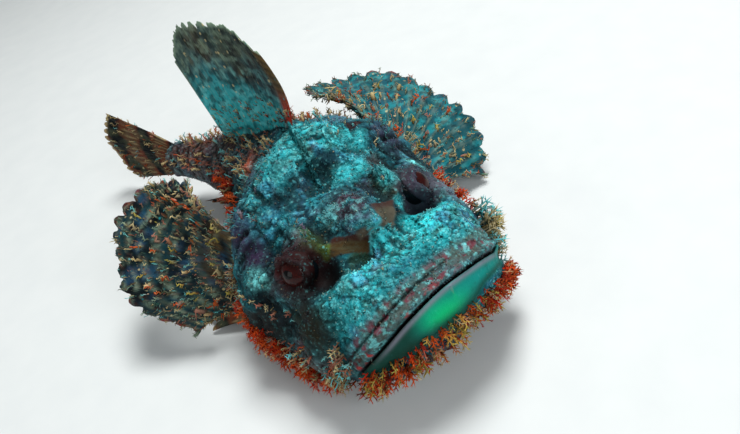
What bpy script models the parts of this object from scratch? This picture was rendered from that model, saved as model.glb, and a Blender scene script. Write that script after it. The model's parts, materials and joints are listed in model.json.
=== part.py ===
"""A false stonefish (a humpbacked scorpionfish) resting on its belly, head turned up.

Metres, +Z up. The fish faces -Y, its right side is -X, and the origin is on the floor,
at the middle of the flat under the torso's belly.
The body is one lofted skin, shaped by soft dents and bumps, with its skin flaps fused on.
Thin cuts then part it into head, lower jaw, gill covers, torso and tail.
"""

import math
import random

import bpy
import bmesh
import numpy as np
from mathutils import Vector
from mathutils.bvhtree import BVHTree

MM = 0.001
GAP = 0.3 * MM

# The body from the snout to the tail root, all in millimetres
SNOUT_Y = -98.0
BODY_LENGTH = 196.0
HALF_WIDTHS = [(0, 1), (1, 9), (4, 18), (10, 27), (18, 33), (28, 37), (40, 39), (52, 41.5), (64, 44),
               (76, 44), (88, 41.5), (102, 37), (118, 31), (134, 25), (150, 19), (166, 13.5), (182, 9.5),
               (196, 8)]
TOP_LINE = [(0, 45), (6, 48.5), (16, 51), (28, 52.5), (42, 54), (54, 56.5), (66, 60), (78, 63.5), (88, 64.5),
            (100, 62), (116, 56.5), (134, 50), (152, 43.5), (172, 38), (196, 34)]
BOTTOM_LINE = [(0, 39), (1.5, 30), (4, 20), (8, 10), (14, 3), (20, 0), (28, -1.2), (70, -1.6), (112, -1.2),
               (126, 1), (144, 5.5), (162, 9.5), (180, 12.5), (196, 13.5)]
WIDEST_LINE = [(0, 40), (6, 31), (14, 26), (30, 24), (60, 25), (90, 27), (130, 26), (160, 25), (196, 23.5)]
UPPER_POWERS = [(0, 2.0), (20, 2.5), (45, 2.6), (70, 2.1), (95, 1.9), (150, 1.75), (196, 2.0)]
LOWER_POWERS = [(0, 2.0), (20, 2.4), (60, 3.0), (110, 3.0), (150, 2.2), (196, 2.0)]
MIDDLE_LINE = [(0, -1.5), (20, -2.8), (44, -3.8), (60, -3), (80, 1.5), (108, 8), (146, 3), (174, -7),
               (196, -17), (245, -40)]

# The mouth's plane runs from the tip of the jaws down to the two corners
JAW_TIP = Vector((0, 0, 45.0))
MOUTH_CORNER = Vector((30, 14, 25.5))
MOUTH_SLIT = 0.9
LIP_SWELL = 2.0

# Eyes
EYE_CENTRE = Vector((25, 44.5, 46.8))
EYE_RADIUS = 6.8
NOSTRIL = Vector((10.5, 24, 51))
NOSTRIL_RADIUS = 1.3

# Dents and bumps: centre, reach and push; those off the middle line are mirrored
DENTS_AND_BUMPS = {
    "snout boss": ((0, 40, 57), (10, 12, 12), (0, -2.0, 6.5)),
    "boss brow": ((0, 31, 55), (8, 5, 9), (0, -3.5, 4.0)),
    "hollow beside boss": ((9.5, 30, 53), (5.5, 6, 9), (0, 2.0, -6.0)),
    "hollow under boss": ((0, 22, 53), (9, 6, 9), (0, 1.0, -3.0)),
    "hollow behind boss": ((0, 64, 62), (12, 7, 10), (0, 0, -5.0)),
    "groove beside boss": ((13, 47, 56), (4.5, 10, 8), (0, 0, -3.5)),
    "eye mound": ((25.5, 46, 48), (8.5, 9, 9), (2.0, -0.6, 2.6)),
    "brow": ((17.5, 49, 55), (4.5, 7, 7), (0.5, 0, 3.5)),
    "pit before eye": ((20.5, 35.5, 46), (6, 5, 9), (-1.5, 3.0, -9.0)),
    "pit rim": ((22, 25, 45), (10, 4.5, 8), (0.5, -1.0, 2.5)),
    "hollow under eye": ((37, 45, 32), (8, 9, 7), (-4.5, 0, -1.5)),
    "jaw bulge": ((19, 13, 44), (10, 9, 10), (1.0, -1.0, 1.5)),
    "cheek": ((41, 30, 22), (10, 11, 11), (3.5, 0, 0)),
    "nape knob": ((11, 78, 64), (8, 10, 9), (1.5, 0, 4.5)),
    "nape side hollow": ((28, 62, 52), (8, 9, 10), (-2.0, 0, -4.0)),
    "shoulder": ((31, 80, 48), (11, 10, 12), (2.5, 0, 3.5)),
    "gill cover": ((46, 62, 30), (10, 12, 14), (2.5, 0, 0)),
    "hump": ((0, 88, 65), (9, 14, 12), (0, 0, 2.0)),
}

# Beard rows on the lower jaw: depth under the lip, how many, length and width; and their spread
BEARD_ROWS = [(15, 12, 8, 3.8), (23, 11, 9, 4.2), (31, 9, 7, 4.0)]
BEARD_SPREAD = 78

# Rows of skin flaps on each side: guide line, how many, lean, length and width
TUFT_ROWS = {
    "mouth corner": ([(33, 17, 31), (36, 21, 25), (36, 23, 16)], 5, (0.9, -0.3, -0.1), 9, 4.0),
    "cheek foot": ([(37, 26, 10), (43, 44, 9), (46, 66, 8)], 8, (0.9, 0.2, -0.15), 7.5, 4.2),
    "cheek": ([(43, 28, 27), (44, 38, 20)], 2, (1.0, 0.3, 0), 6, 3.4),
    "brow": ([(20, 43, 57), (21, 53, 58)], 2, (0.2, 0.2, 1), 5, 3.2),
    "flank": ([(35, 100, 40), (31, 110, 42), (24, 128, 38), (17, 143, 36)], 5, (0.8, 0.8, 0), 6, 3.8),
    "back": ([(14, 96, 64), (13, 118, 54), (9, 140, 46)], 3, (0.2, 0.8, 0.6), 5, 3.4),
    "tail": ([(15, 154, 34), (10, 182, 28)], 3, (0.8, 0.9, 0), 5, 3.2),
    "snout": ([(7, 18, 53), (14, 22, 52)], 2, (0.1, -0.5, 1), 4.5, 2.8),
}

# Cuts that part the body
NECK_TOP = Vector((0, 57, 70))
NECK_BOTTOM = Vector((0, 80, 0))
TAIL_CUT = 148.0
GILL_COVER_CENTRE = Vector((46, 60, 31))
GILL_COVER_REACH = Vector((14, 16.5, 20))

# Mesh density
STATIONS = 42
SIDES = 38
FRONT_CROWDING = 1.6

SEED = 7


def curve_through(points):
    """A smooth curve through (place, value) pairs that does not overshoot them."""
    places = np.array([place for place, _ in points], float)
    values = np.array([value for _, value in points], float)
    slopes = np.diff(values) / np.diff(places)
    tangents = np.empty(len(places))
    tangents[0] = slopes[0]
    tangents[-1] = slopes[-1]
    before, after = slopes[:-1], slopes[1:]
    same_way = before * after > 0
    mean = np.where(same_way, 2 * before * after / np.where(same_way, before + after, 1), 0)
    tangents[1:-1] = mean

    def value_at(place):
        place = np.clip(place, places[0], places[-1])
        i = np.clip(np.searchsorted(places, place) - 1, 0, len(slopes) - 1)
        span = places[i + 1] - places[i]
        t = (place - places[i]) / span
        start = (1 + 2 * t) * (1 - t) ** 2 * values[i] + t * (1 - t) ** 2 * span * tangents[i]
        end = t * t * (3 - 2 * t) * values[i + 1] + t * t * (t - 1) * span * tangents[i + 1]
        return start + end

    return value_at


half_width = curve_through(HALF_WIDTHS)
top_height = curve_through(TOP_LINE)
bottom_height = curve_through(BOTTOM_LINE)
widest_height = curve_through(WIDEST_LINE)
upper_power = curve_through(UPPER_POWERS)
lower_power = curve_through(LOWER_POWERS)
sideways = curve_through(MIDDLE_LINE)


def swung(point):
    """Put a point that was given beside a straight fish beside the bent one."""
    return Vector((point[0] + float(sideways(point[1])), point[1], point[2]))


def plain_section(y, angle):
    """Points of the loft before any dent: angle 0 is the belly, pi is the back."""
    across, up = np.sin(angle), -np.cos(angle)
    power = np.where(up > 0, upper_power(y), lower_power(y))
    across = np.sign(across) * np.abs(across) ** (2 / power)
    up = np.sign(up) * np.abs(up) ** (2 / power)
    middle = widest_height(y)
    reach = np.where(up > 0, top_height(y) - middle, middle - bottom_height(y))
    return np.stack([half_width(y) * across, y + 0 * across, middle + reach * up], axis=-1)


def mouth_side():
    """The mouth plane's unit normal, pointing up and out over the upper jaw."""
    along = Vector((1, 0, 0))
    down = Vector((0, MOUTH_CORNER.y, MOUTH_CORNER.z)) - JAW_TIP
    return along.cross(down).normalized()


def lip_push(points):
    """The two lips swell forward beside the slit of the mouth."""
    normal = np.array(mouth_side())
    height = (points - np.array(JAW_TIP)) @ normal
    upper = np.exp(-((height - 2.6) / 2.0) ** 2)
    lower = 1.5 * np.exp(-((height + 4.5) / 3.6) ** 2)
    near_front = np.clip((MOUTH_CORNER.y + 4 - points[..., 1]) / 6, 0, 1)
    return (LIP_SWELL * (upper + lower) * near_front)[..., None]


def shaped(points):
    """The loft's points with the lips, dents and bumps put in and the tail swung."""
    pushed = points.copy()
    outward = points - np.array([0, 30.0, 30.0])
    outward /= np.linalg.norm(outward, axis=-1, keepdims=True)
    pushed += outward * lip_push(points)
    for centre, reach, push in DENTS_AND_BUMPS.values():
        for side in (1, -1) if centre[0] else (1,):
            flip = np.array([side, 1, 1])
            away = (points - np.array(centre) * flip) / np.array(reach)
            pushed += np.exp(-(away ** 2).sum(axis=-1))[..., None] * np.array(push) * flip
    pushed[..., 0] += sideways(points[..., 1])
    return pushed


def ridge(y, angle):
    """The skin's point at a station on the back (pi) or belly (0), dents and bend included."""
    return shaped(plain_section(np.array([float(y)]), np.array([angle])))[0]


def placed(points):
    """Millimetres from the snout to metres from the origin, nothing under the floor."""
    moved = np.asarray(points, float) + np.array([0, SNOUT_Y, 0])
    moved[..., 2] = np.maximum(moved[..., 2], 0)
    return moved * MM


def at(x, y, z):
    """One point given in millimetres from the snout, in metres from the origin."""
    return Vector((x, y + SNOUT_Y, z)) * MM


def beside(point, sign):
    """A point of the head's left (1) or right (-1) side, bent with the body, in metres from the origin."""
    return at(*swung((point[0] * sign, point[1], point[2])))


def clear_scene():
    for old in list(bpy.data.objects):
        bpy.data.objects.remove(old)


def material(name, colour, roughness):
    made = bpy.data.materials.new(name)
    made.use_nodes = True
    shader = made.node_tree.nodes["Principled BSDF"]
    shader.inputs["Base Color"].default_value = (*colour, 1)
    shader.inputs["Roughness"].default_value = roughness
    shader.inputs["Metallic"].default_value = 0
    return made


def new_object(name, points, faces, finish=None):
    """An object whose faces all point out."""
    mesh = bpy.data.meshes.new(name)
    mesh.from_pydata([tuple(p) for p in points], [], faces)
    work = bmesh.new()
    work.from_mesh(mesh)
    bmesh.ops.recalc_face_normals(work, faces=work.faces)
    work.to_mesh(mesh)
    work.free()
    made = bpy.data.objects.new(name, mesh)
    bpy.context.collection.objects.link(made)
    if finish:
        mesh.materials.append(finish)
    return made


def tube_faces(rings, sides):
    """Faces of a closed tube of rings, whose end points come last in its list of points."""
    faces = []
    for i in range(rings - 1):
        for j in range(sides):
            k = (j + 1) % sides
            a, b = i * sides + j, i * sides + k
            faces.append((a, b, b + sides, a + sides))
    front, back = rings * sides, rings * sides + 1
    last = (rings - 1) * sides
    for j in range(sides):
        k = (j + 1) % sides
        faces.append((front, k, j))
        faces.append((back, last + j, last + k))
    return faces


def make_body():
    steps = np.linspace(0, 1, STATIONS) ** FRONT_CROWDING
    angles = np.linspace(0, 2 * math.pi, SIDES, endpoint=False)
    y, angle = np.meshgrid(steps * BODY_LENGTH, angles, indexing="ij")
    points = placed(shaped(plain_section(y, angle)))
    ends = np.array([points[0].mean(axis=0), points[-1].mean(axis=0)])
    ends[0, 1] -= 0.4 * MM
    everything = np.concatenate([points.reshape(-1, 3), ends])
    return new_object("body", everything, tube_faces(STATIONS, SIDES))


def evaluated_mesh(thing):
    graph = bpy.context.evaluated_depsgraph_get()
    return bpy.data.meshes.new_from_object(thing.evaluated_get(graph))


def apply_modifiers(thing):
    mesh = evaluated_mesh(thing)
    thing.modifiers.clear()
    thing.data = mesh


def keep_largest(thing):
    """Drop loose scraps and sealed hollows, keep the largest closed surface."""
    work = bmesh.new()
    work.from_mesh(thing.data)
    unseen = set(work.verts)
    best, best_size = set(), -1.0
    while unseen:
        stack = [unseen.pop()]
        shell = set(stack)
        while stack:
            for edge in stack.pop().link_edges:
                for vert in edge.verts:
                    if vert in unseen:
                        unseen.discard(vert)
                        shell.add(vert)
                        stack.append(vert)
        spans = [max(v.co[k] for v in shell) - min(v.co[k] for v in shell) for k in range(3)]
        size = spans[0] * spans[1] * spans[2] + sum(spans) * MM * MM
        if size > best_size:
            best, best_size = shell, size
    bmesh.ops.delete(work, geom=[v for v in work.verts if v not in best], context="VERTS")
    bmesh.ops.triangulate(work, faces=work.faces)
    work.to_mesh(thing.data)
    work.free()


def combine(thing, others, operation, solver="EXACT"):
    """One Boolean of a thing with a list of closed meshes, applied; the others go."""
    group = bpy.data.collections.new("others")
    bpy.context.scene.collection.children.link(group)
    for other in others:
        for home in list(other.users_collection):
            home.objects.unlink(other)
        group.objects.link(other)
    boolean = thing.modifiers.new("boolean", "BOOLEAN")
    boolean.operation = operation
    boolean.operand_type = "COLLECTION"
    boolean.collection = group
    boolean.solver = solver
    apply_modifiers(thing)
    for other in others:
        bpy.data.objects.remove(other)
    bpy.data.collections.remove(group)
    keep_largest(thing)


def copied(thing, name, finish=None):
    twin = bpy.data.objects.new(name, thing.data.copy())
    bpy.context.collection.objects.link(twin)
    if finish:
        twin.data.materials.clear()
        twin.data.materials.append(finish)
    return twin


def grown(thing, amount):
    """A copy pushed out along its normals."""
    twin = copied(thing, "grown")
    for vert, normal in zip(twin.data.vertices, [v.normal.copy() for v in thing.data.vertices]):
        vert.co += normal * amount
    return twin


def block_beyond(point, normal, name="block"):
    """A large box that fills the side of a plane that the normal points to."""
    size = 400 * MM
    normal = normal.normalized()
    across = normal.orthogonal().normalized()
    other = normal.cross(across)
    points = []
    for depth in (0, size):
        for a, b in ((-1, -1), (1, -1), (1, 1), (-1, 1)):
            points.append(point + normal * depth + (across * a + other * b) * size)
    faces = [(0, 1, 2, 3), (4, 5, 6, 7), (0, 1, 5, 4), (1, 2, 6, 5), (2, 3, 7, 6), (3, 0, 4, 7)]
    return new_object(name, points, faces)


def egg(name, centre, reach, rings=10, sides=16):
    """A closed ellipsoid with its poles front and back."""
    points = []
    for i in range(rings):
        lie = math.pi * (i + 1) / (rings + 1)
        for j in range(sides):
            turn = 2 * math.pi * j / sides
            offset = (math.sin(lie) * math.sin(turn), -math.cos(lie), math.sin(lie) * math.cos(turn))
            points.append([centre[k] + reach[k] * offset[k] for k in range(3)])
    points.append((centre[0], centre[1] - reach[1], centre[2]))
    points.append((centre[0], centre[1] + reach[1], centre[2]))
    return new_object(name, points, tube_faces(rings, sides))


# Skin flaps

class Skin:
    """Finds the nearest place on the body's surface and the way out of it."""

    def __init__(self, body):
        work = bmesh.new()
        work.from_mesh(body.data)
        self.tree = BVHTree.FromBMesh(work)
        work.free()

    def near(self, guide):
        place, normal, _, _ = self.tree.find_nearest(guide)
        return place, normal


# A flap's outline from root to tips: side place over its width, place along it, and thickness
FLAP_OUTLINE = [(-0.30, 0, 1.0), (0.30, 0, 1.0), (0.50, 0.42, 0.8), (0.92, 0.90, 0.35), (0.24, 0.74, 0.6),
                (-0.05, 1.0, 0.35), (-0.30, 0.62, 0.6), (-0.86, 0.72, 0.35), (-0.48, 0.36, 0.8)]
FLAP_FACES = [(0, 1, 2), (0, 2, 8), (8, 2, 4), (8, 4, 6), (2, 3, 4), (4, 5, 6), (6, 7, 8)]


def flap(root, way, side, length, width, bend, curl):
    """A flat three-tipped blade of skin, bent over and curled, closed all round."""
    flat = way.cross(side)
    points = []
    for face in (1, -1):
        for across, share, thickness in FLAP_OUTLINE:
            lift = bend * share * share + curl * abs(across) * share
            half = max(0.11 * width * thickness, 0.25 * MM)
            points.append(root + way * length * share + side * across * width + flat * (lift + face * half))
    count = len(FLAP_OUTLINE)
    faces = []
    for a, b, c in FLAP_FACES:
        faces.append((a, b, c))
        faces.append((count + c, count + b, count + a))
    for i in range(count):
        k = (i + 1) % count
        faces.append((i, k, count + k))
        faces.append((i, count + k, count + i))
    return new_object("flap", points, faces)


def tassel(skin, guide, lean, length, width, rng):
    """One flap rooted in the skin near the guide point, leaning the given way."""
    place, normal = skin.near(guide)
    way = (normal * 0.5 + lean.normalized()).normalized()
    side = normal.cross(way)
    if side.length < 0.1:
        side = way.orthogonal()
    side = (side.normalized() + normal * rng.uniform(-0.8, 0.8)).normalized()
    side = (side - way * side.dot(way)).normalized() * rng.choice((1, -1))
    sunk = way * width * 0.45 + normal * width * 0.3
    full = length * rng.uniform(0.8, 1.2) + sunk.length
    bend = full * rng.uniform(-0.25, 0.25)
    return flap(place - sunk, way, side, full, width, bend, bend * 0.4)


def along(points, share):
    """A place on a broken line, share 0 to 1 of its length."""
    spans = [(b - a).length for a, b in zip(points, points[1:])]
    left = share * sum(spans)
    for start, end, span in zip(points, points[1:], spans):
        if left <= span:
            return start.lerp(end, left / span)
        left -= span
    return points[-1]


def row_of_tassels(skin, line, count, lean, length, width, rng):
    pieces = []
    for i in range(count):
        guide = along(line, (i + 0.5) / count) + Vector([rng.uniform(-1, 1) * MM for _ in range(3)])
        pieces.append(tassel(skin, guide, lean, length * MM, width * MM, rng))
    return pieces


def beard(skin, rng):
    """Fringes that hang from the lower jaw, from corner to corner."""
    pieces = []
    for depth, count, length, width in BEARD_ROWS:
        for i in range(count):
            turn = math.radians(-BEARD_SPREAD + 2 * BEARD_SPREAD * i / (count - 1))
            drop = 19 * abs(math.sin(turn)) ** 2 + depth + rng.uniform(-1.5, 1.5)
            height = max(JAW_TIP.z - drop, 4)
            guide = beside((33 * math.sin(turn), 13 - 16 * math.cos(turn), height), 1)
            lean = Vector((0.8 * math.sin(turn), -0.65 * math.cos(turn), -0.65))
            pieces.append(tassel(skin, guide, lean, length * MM, width * MM, rng))
    return pieces


def side_flaps(skin, rng):
    """Tufts at the mouth's corners, along the cheek and the gill cover's foot, and on the flank."""
    pieces = []
    for side in (1, -1):
        for line, count, lean, length, width in TUFT_ROWS.values():
            guides = [beside(point, side) for point in line]
            way = Vector((lean[0] * side, lean[1], lean[2]))
            pieces += row_of_tassels(skin, guides, count, way, length, width, rng)
    return pieces


# Parting the body

def part_body(body, flesh):
    """Head, lower jaw, gill covers, torso and tail as closed pieces with thin gaps."""
    nodes = []
    regions = {}
    for name, sign in (("gill_cover_right", -1), ("gill_cover_left", 1)):
        centre = beside(GILL_COVER_CENTRE, sign)
        regions[name] = centre
        piece = copied(body, name, flesh)
        combine(piece, [egg("inner", centre, GILL_COVER_REACH * MM)], "INTERSECT")
        nodes.append(piece)
    wider = GILL_COVER_REACH * MM + Vector((GAP, GAP, GAP))
    outer = [egg("outer", centre, wider) for centre in regions.values()]
    combine(body, outer, "DIFFERENCE")

    mouth_point = at(*JAW_TIP)
    up = mouth_side()
    neck_point = at(*NECK_TOP)
    back = Vector((1, 0, 0)).cross(NECK_BOTTOM - NECK_TOP).normalized()
    if back.y < 0:
        back.negate()
    tail_point = at(0, TAIL_CUT, 0)
    tail_way = Vector((0, 1, 0))

    jaw = copied(body, "lower_jaw", flesh)
    combine(jaw, [block_beyond(mouth_point - up * MOUTH_SLIT * MM / 2, up)], "DIFFERENCE")
    head = copied(body, "head", flesh)
    away = [block_beyond(mouth_point + up * MOUTH_SLIT * MM / 2, -up)]
    combine(head, away, "DIFFERENCE")
    combine(head, [block_beyond(neck_point, back)], "DIFFERENCE")
    torso = copied(body, "torso", flesh)
    combine(torso, [block_beyond(neck_point + back * GAP, -back)], "DIFFERENCE")
    combine(torso, [block_beyond(tail_point, tail_way)], "DIFFERENCE")
    tail = copied(body, "tail", flesh)
    combine(tail, [block_beyond(tail_point + tail_way * GAP, -tail_way)], "DIFFERENCE")
    bpy.data.objects.remove(body)
    return nodes + [jaw, head, torso, tail]


def cut_nostrils(head):
    """A small pit for the nostril on each side of the snout."""
    for sign in (-1, 1):
        centre = beside(NOSTRIL, sign)
        ray = Vector((0, 0, -1))
        hit, place, _, _ = head.ray_cast(centre + Vector((0, 0, 20 * MM)), ray)
        if hit:
            pit = egg("nostril", place, [NOSTRIL_RADIUS * MM] * 3, rings=4, sides=8)
            combine(head, [pit], "DIFFERENCE")


def make_eyes(head, finish):
    """Eyeballs in sockets that are cut from the head."""
    eyes = []
    for name, sign in (("eye_right", -1), ("eye_left", 1)):
        centre = beside(EYE_CENTRE, sign)
        ball = egg(name, centre, [EYE_RADIUS * MM] * 3, rings=7, sides=12)
        ball.data.materials.append(finish)
        socket = egg("socket", centre, [EYE_RADIUS * MM + GAP * 1.6] * 3, rings=7, sides=12)
        combine(head, [socket], "DIFFERENCE")
        eyes.append(ball)
    return eyes


# Fins

def fin(name, rays, finish, stations=5, ray_half=0.9, web_half=0.35, notch=0.1, tip_half=0.35):
    """A thin closed fin. Each ray is (root, tip, bow); the webs between them are thinner.

    The rays stand as ridges on both faces, and end past the web's edge by the notch.
    """
    columns = []
    for i, (root, tip, bow) in enumerate(rays):
        columns.append((root, tip, bow, ray_half))
        if i + 1 < len(rays):
            next_root, next_tip, next_bow = rays[i + 1]
            mid_root = (root + next_root) / 2
            mid_tip = (tip + next_tip) / 2
            mid_tip = mid_root.lerp(mid_tip, 1 - notch)
            columns.append((mid_root, mid_tip, (bow + next_bow) / 2, web_half))
    grid = []
    for root, tip, bow, _ in columns:
        row = []
        for j in range(stations + 1):
            t = j / stations
            row.append(root.lerp(tip, t) + bow * 4 * t * (1 - t))
        grid.append(row)
    count = len(columns)
    upper, lower = [], []
    for i in range(count):
        for j in range(stations + 1):
            side = grid[min(i + 1, count - 1)][j] - grid[max(i - 1, 0)][j]
            run = grid[i][min(j + 1, stations)] - grid[i][max(j - 1, 0)]
            out = side.cross(run).normalized()
            t = j / stations
            half = (columns[i][3] * (1 - t) + min(tip_half, columns[i][3]) * t) * MM
            upper.append(grid[i][j] + out * half)
            lower.append(grid[i][j] - out * half)
    wide = stations + 1
    shift = count * wide
    faces = []
    for i in range(count - 1):
        for j in range(stations):
            a, b, c, d = i * wide + j, (i + 1) * wide + j, (i + 1) * wide + j + 1, i * wide + j + 1
            cut = ((a, b, c), (a, c, d)) if i % 2 else ((a, b, d), (b, c, d))
            for corner in cut:
                faces.append(corner)
                faces.append(tuple(shift + k for k in reversed(corner)))
    rim = [j for j in range(wide)]
    rim += [i * wide + stations for i in range(1, count)]
    rim += [(count - 1) * wide + j for j in range(stations - 1, -1, -1)]
    rim += [i * wide for i in range(count - 2, 0, -1)]
    for a, b in zip(rim, rim[1:] + rim[:1]):
        faces.append((a, b, shift + b))
        faces.append((a, shift + b, shift + a))
    return new_object(name, upper + lower, faces, finish)


def fanned(count, root_line, tip_line, bow):
    """Rays spread evenly from a line of roots to a line of tips."""
    rays = []
    for i in range(count):
        share = i / (count - 1)
        rays.append((along(root_line, share), along(tip_line, share), bow))
    return rays


def smooth_line(points, count=24):
    """A finer line through the given points."""
    places = np.linspace(0, 1, len(points))
    curves = [curve_through(list(zip(places, [p[k] for p in points]))) for k in range(3)]
    return [Vector([float(c(t)) for c in curves]) for t in np.linspace(0, 1, count)]


PECTORAL_ROOTS = [(40, 83, 46), (42, 83, 38), (42, 82, 28), (40, 81, 18), (36, 80, 10)]
PECTORAL_TIPS = {
    -1: [(35, 109, 61), (43, 127, 58), (50, 142, 52), (62, 141, 46), (72, 130, 39), (78, 117, 29),
         (74, 106, 18), (64, 96, 6)],
    1: [(30, 118, 58), (36, 140, 50), (52, 147, 45), (70, 138, 41), (84, 121, 34), (90, 101, 24),
        (86, 83, 12), (76, 72, 3)],
}
PECTORAL_RAYS = 17

SPINES = 11
SOFT_DORSAL_RAYS = 12
SOFT_DORSAL_BASE = (98, 158)
SOFT_DORSAL_TIPS = [(9, 102, 94.6), (8, 111, 98.8), (7, 121, 102), (4.5, 136, 102), (1, 156, 98.6),
                    (-1.5, 165.6, 90.5), (-3, 170.5, 79)]


def pectoral_fin(name, sign, finish):
    """The right fin (-1) is swept back and the left one spread wide, as the fish holds them."""
    roots = smooth_line([at(x * sign, y, z) for x, y, z in PECTORAL_ROOTS])
    tips = smooth_line([at(x * sign, y, z) for x, y, z in PECTORAL_TIPS[sign]])
    bow = Vector((4 * sign, 0, 5)) * MM
    rays = fanned(PECTORAL_RAYS, roots, tips, bow)
    inset = Vector((-5 * sign, 0, 0)) * MM
    rays = [(root + inset, tip, bow) for root, tip, bow in rays]
    return fin(name, rays, finish, stations=6, notch=0.09)


def pelvic_fin(name, sign, finish):
    roots = smooth_line([at(x * sign, y, z) for x, y, z in ((22, 82, 6), (29, 74, 4.5))])
    tips = smooth_line([at(x * sign, y, z) for x, y, z in ((34, 128, 2.6), (50, 118, 2.2), (58, 98, 2.0))])
    rays = fanned(6, roots, tips, Vector((0, 0, 2)) * MM)
    return fin(name, rays, finish, stations=4, notch=0.12, ray_half=0.8)


def rooted(y, inset=3.0):
    """A ray's root, sunk under the line of the back, with the ways along and out of the back there."""
    here = Vector(ridge(y, math.pi))
    run = (Vector(ridge(y + 4, math.pi)) - Vector(ridge(y - 4, math.pi))).normalized()
    out = Vector((1, 0, 0)).cross(run).normalized()
    return here, here - out * inset, run, out


def spinous_dorsal_fin(finish):
    """Short folded spines that lie back along the nape."""
    length_at = curve_through([(0, 8), (0.3, 12), (0.7, 11), (1, 7)])
    rise_at = curve_through([(0, 46), (1, 32)])
    rays = []
    for i in range(SPINES):
        share = i / (SPINES - 1)
        here, root, run, out = rooted(63 + 24 * share)
        rise = math.radians(float(rise_at(share)))
        way = run * math.cos(rise) + out * math.sin(rise)
        tip = here + way * float(length_at(share))
        bow = out * math.cos(rise) - run * math.sin(rise)
        rays.append((at(*root), at(*tip), bow * MM))
    return fin("spinous_dorsal_fin", rays, finish, stations=3, notch=0.45, ray_half=1.1)


def soft_dorsal_fin(finish):
    """A tall rounded fin; its first rays bow forward into a thick leading edge."""
    tips = smooth_line([at(*p) for p in SOFT_DORSAL_TIPS])
    rays = []
    for i in range(SOFT_DORSAL_RAYS):
        share = i / (SOFT_DORSAL_RAYS - 1)
        start, end = SOFT_DORSAL_BASE
        root = rooted(start + (end - start) * share)[1]
        bow = Vector((0.5, -7, 1)) * (1 - share) * MM
        rays.append((at(*root), along(tips, share), bow))
    return fin("soft_dorsal_fin", rays, finish, stations=6, notch=0.05, ray_half=0.9)


def caudal_fin(finish):
    roots = smooth_line([swung((0, 193, 32)), swung((0, 193, 15))])
    tips = smooth_line([Vector((-32, 237, 47)), Vector((-36, 243, 38)), Vector((-38, 244, 27)),
                        Vector((-37, 241, 15)), Vector((-34, 235, 6))])
    rays = fanned(12, [at(*p) for p in roots], [at(*p) for p in tips], Vector((0.8, 0, 0)) * MM)
    return fin("caudal_fin", rays, finish, stations=5, notch=0.05)


def anal_fin(finish):
    rays = []
    for i in range(8):
        share = i / 7
        y = 133 + 24 * share
        root = Vector(ridge(y, 0)) + Vector((0, 0, 3))
        far = y + 17 + 8 * share
        tip = swung((-5 - 3 * share, far, 1.5 + 2 * share))
        rays.append((at(*root), at(*tip), Vector((-1, 0, -0.3)) * MM))
    return fin("anal_fin", rays, finish, stations=3, notch=0.1, ray_half=0.8)


def cut_clear(piece, solids):
    """Trim a piece so that it stops a thin gap short of the solids."""
    for solid in solids:
        combine(piece, [grown(solid, GAP)], "DIFFERENCE", "MANIFOLD")


def finish_all():
    """Shade every piece smooth but for its sharp edges."""
    for thing in bpy.data.objects:
        thing.data.shade_smooth()
        thing.data.set_sharp_from_angle(angle=math.radians(50))


def main():
    clear_scene()
    rng = random.Random(SEED)
    flesh = material("mottled_skin", (0.33, 0.42, 0.40), 0.75)
    fin_skin = material("fin_skin", (0.42, 0.25, 0.20), 0.7)
    eye_skin = material("eye", (0.25, 0.06, 0.05), 0.2)
    body = make_body()
    smooth_body = copied(body, "smooth_body")
    skin = Skin(body)
    flaps = beard(skin, rng) + side_flaps(skin, rng)
    combine(body, flaps, "UNION", "MANIFOLD")
    nodes = part_body(body, flesh)
    head = next(node for node in nodes if node.name == "head")
    make_eyes(head, eye_skin)
    cut_nostrils(head)
    fins = [pectoral_fin("pectoral_fin_right", -1, fin_skin), pectoral_fin("pectoral_fin_left", 1, fin_skin),
            pelvic_fin("pelvic_fin_right", -1, fin_skin), pelvic_fin("pelvic_fin_left", 1, fin_skin),
            spinous_dorsal_fin(fin_skin), soft_dorsal_fin(fin_skin), caudal_fin(fin_skin), anal_fin(fin_skin)]
    for piece in fins:
        cut_clear(piece, [smooth_body])
    bpy.data.objects.remove(smooth_body)
    finish_all()


main()
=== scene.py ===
"""The looks of the false stonefish: one warty skin over its flesh, frilly tassels, fins and eyes.

Shapes are worked out in millimetres from the tip of the snout, as in the part's own source.
They become metres in the frame when a mesh is made.
"""
import json
import math
from itertools import product

import bpy
import numpy as np
from mathutils import Matrix, Vector
from mathutils.kdtree import KDTree

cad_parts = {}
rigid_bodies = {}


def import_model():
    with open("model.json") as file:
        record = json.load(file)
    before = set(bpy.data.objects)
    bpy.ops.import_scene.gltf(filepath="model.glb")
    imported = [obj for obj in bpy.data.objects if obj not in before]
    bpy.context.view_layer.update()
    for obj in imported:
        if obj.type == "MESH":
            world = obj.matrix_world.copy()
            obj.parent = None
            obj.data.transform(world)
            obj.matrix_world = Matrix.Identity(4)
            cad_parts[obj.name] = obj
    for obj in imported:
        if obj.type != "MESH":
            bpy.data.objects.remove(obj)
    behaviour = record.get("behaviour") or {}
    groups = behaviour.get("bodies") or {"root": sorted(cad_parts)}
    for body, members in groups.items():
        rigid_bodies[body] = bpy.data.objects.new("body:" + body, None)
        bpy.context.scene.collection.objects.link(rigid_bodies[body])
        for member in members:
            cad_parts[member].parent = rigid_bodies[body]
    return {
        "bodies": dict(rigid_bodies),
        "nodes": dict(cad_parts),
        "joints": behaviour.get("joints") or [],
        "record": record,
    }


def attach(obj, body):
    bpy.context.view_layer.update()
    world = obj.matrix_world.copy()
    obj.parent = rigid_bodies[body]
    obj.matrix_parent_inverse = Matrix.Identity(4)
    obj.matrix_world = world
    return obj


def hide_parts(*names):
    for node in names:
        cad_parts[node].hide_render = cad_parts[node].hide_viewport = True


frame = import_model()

MM = 0.001
BODY = "root"

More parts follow.
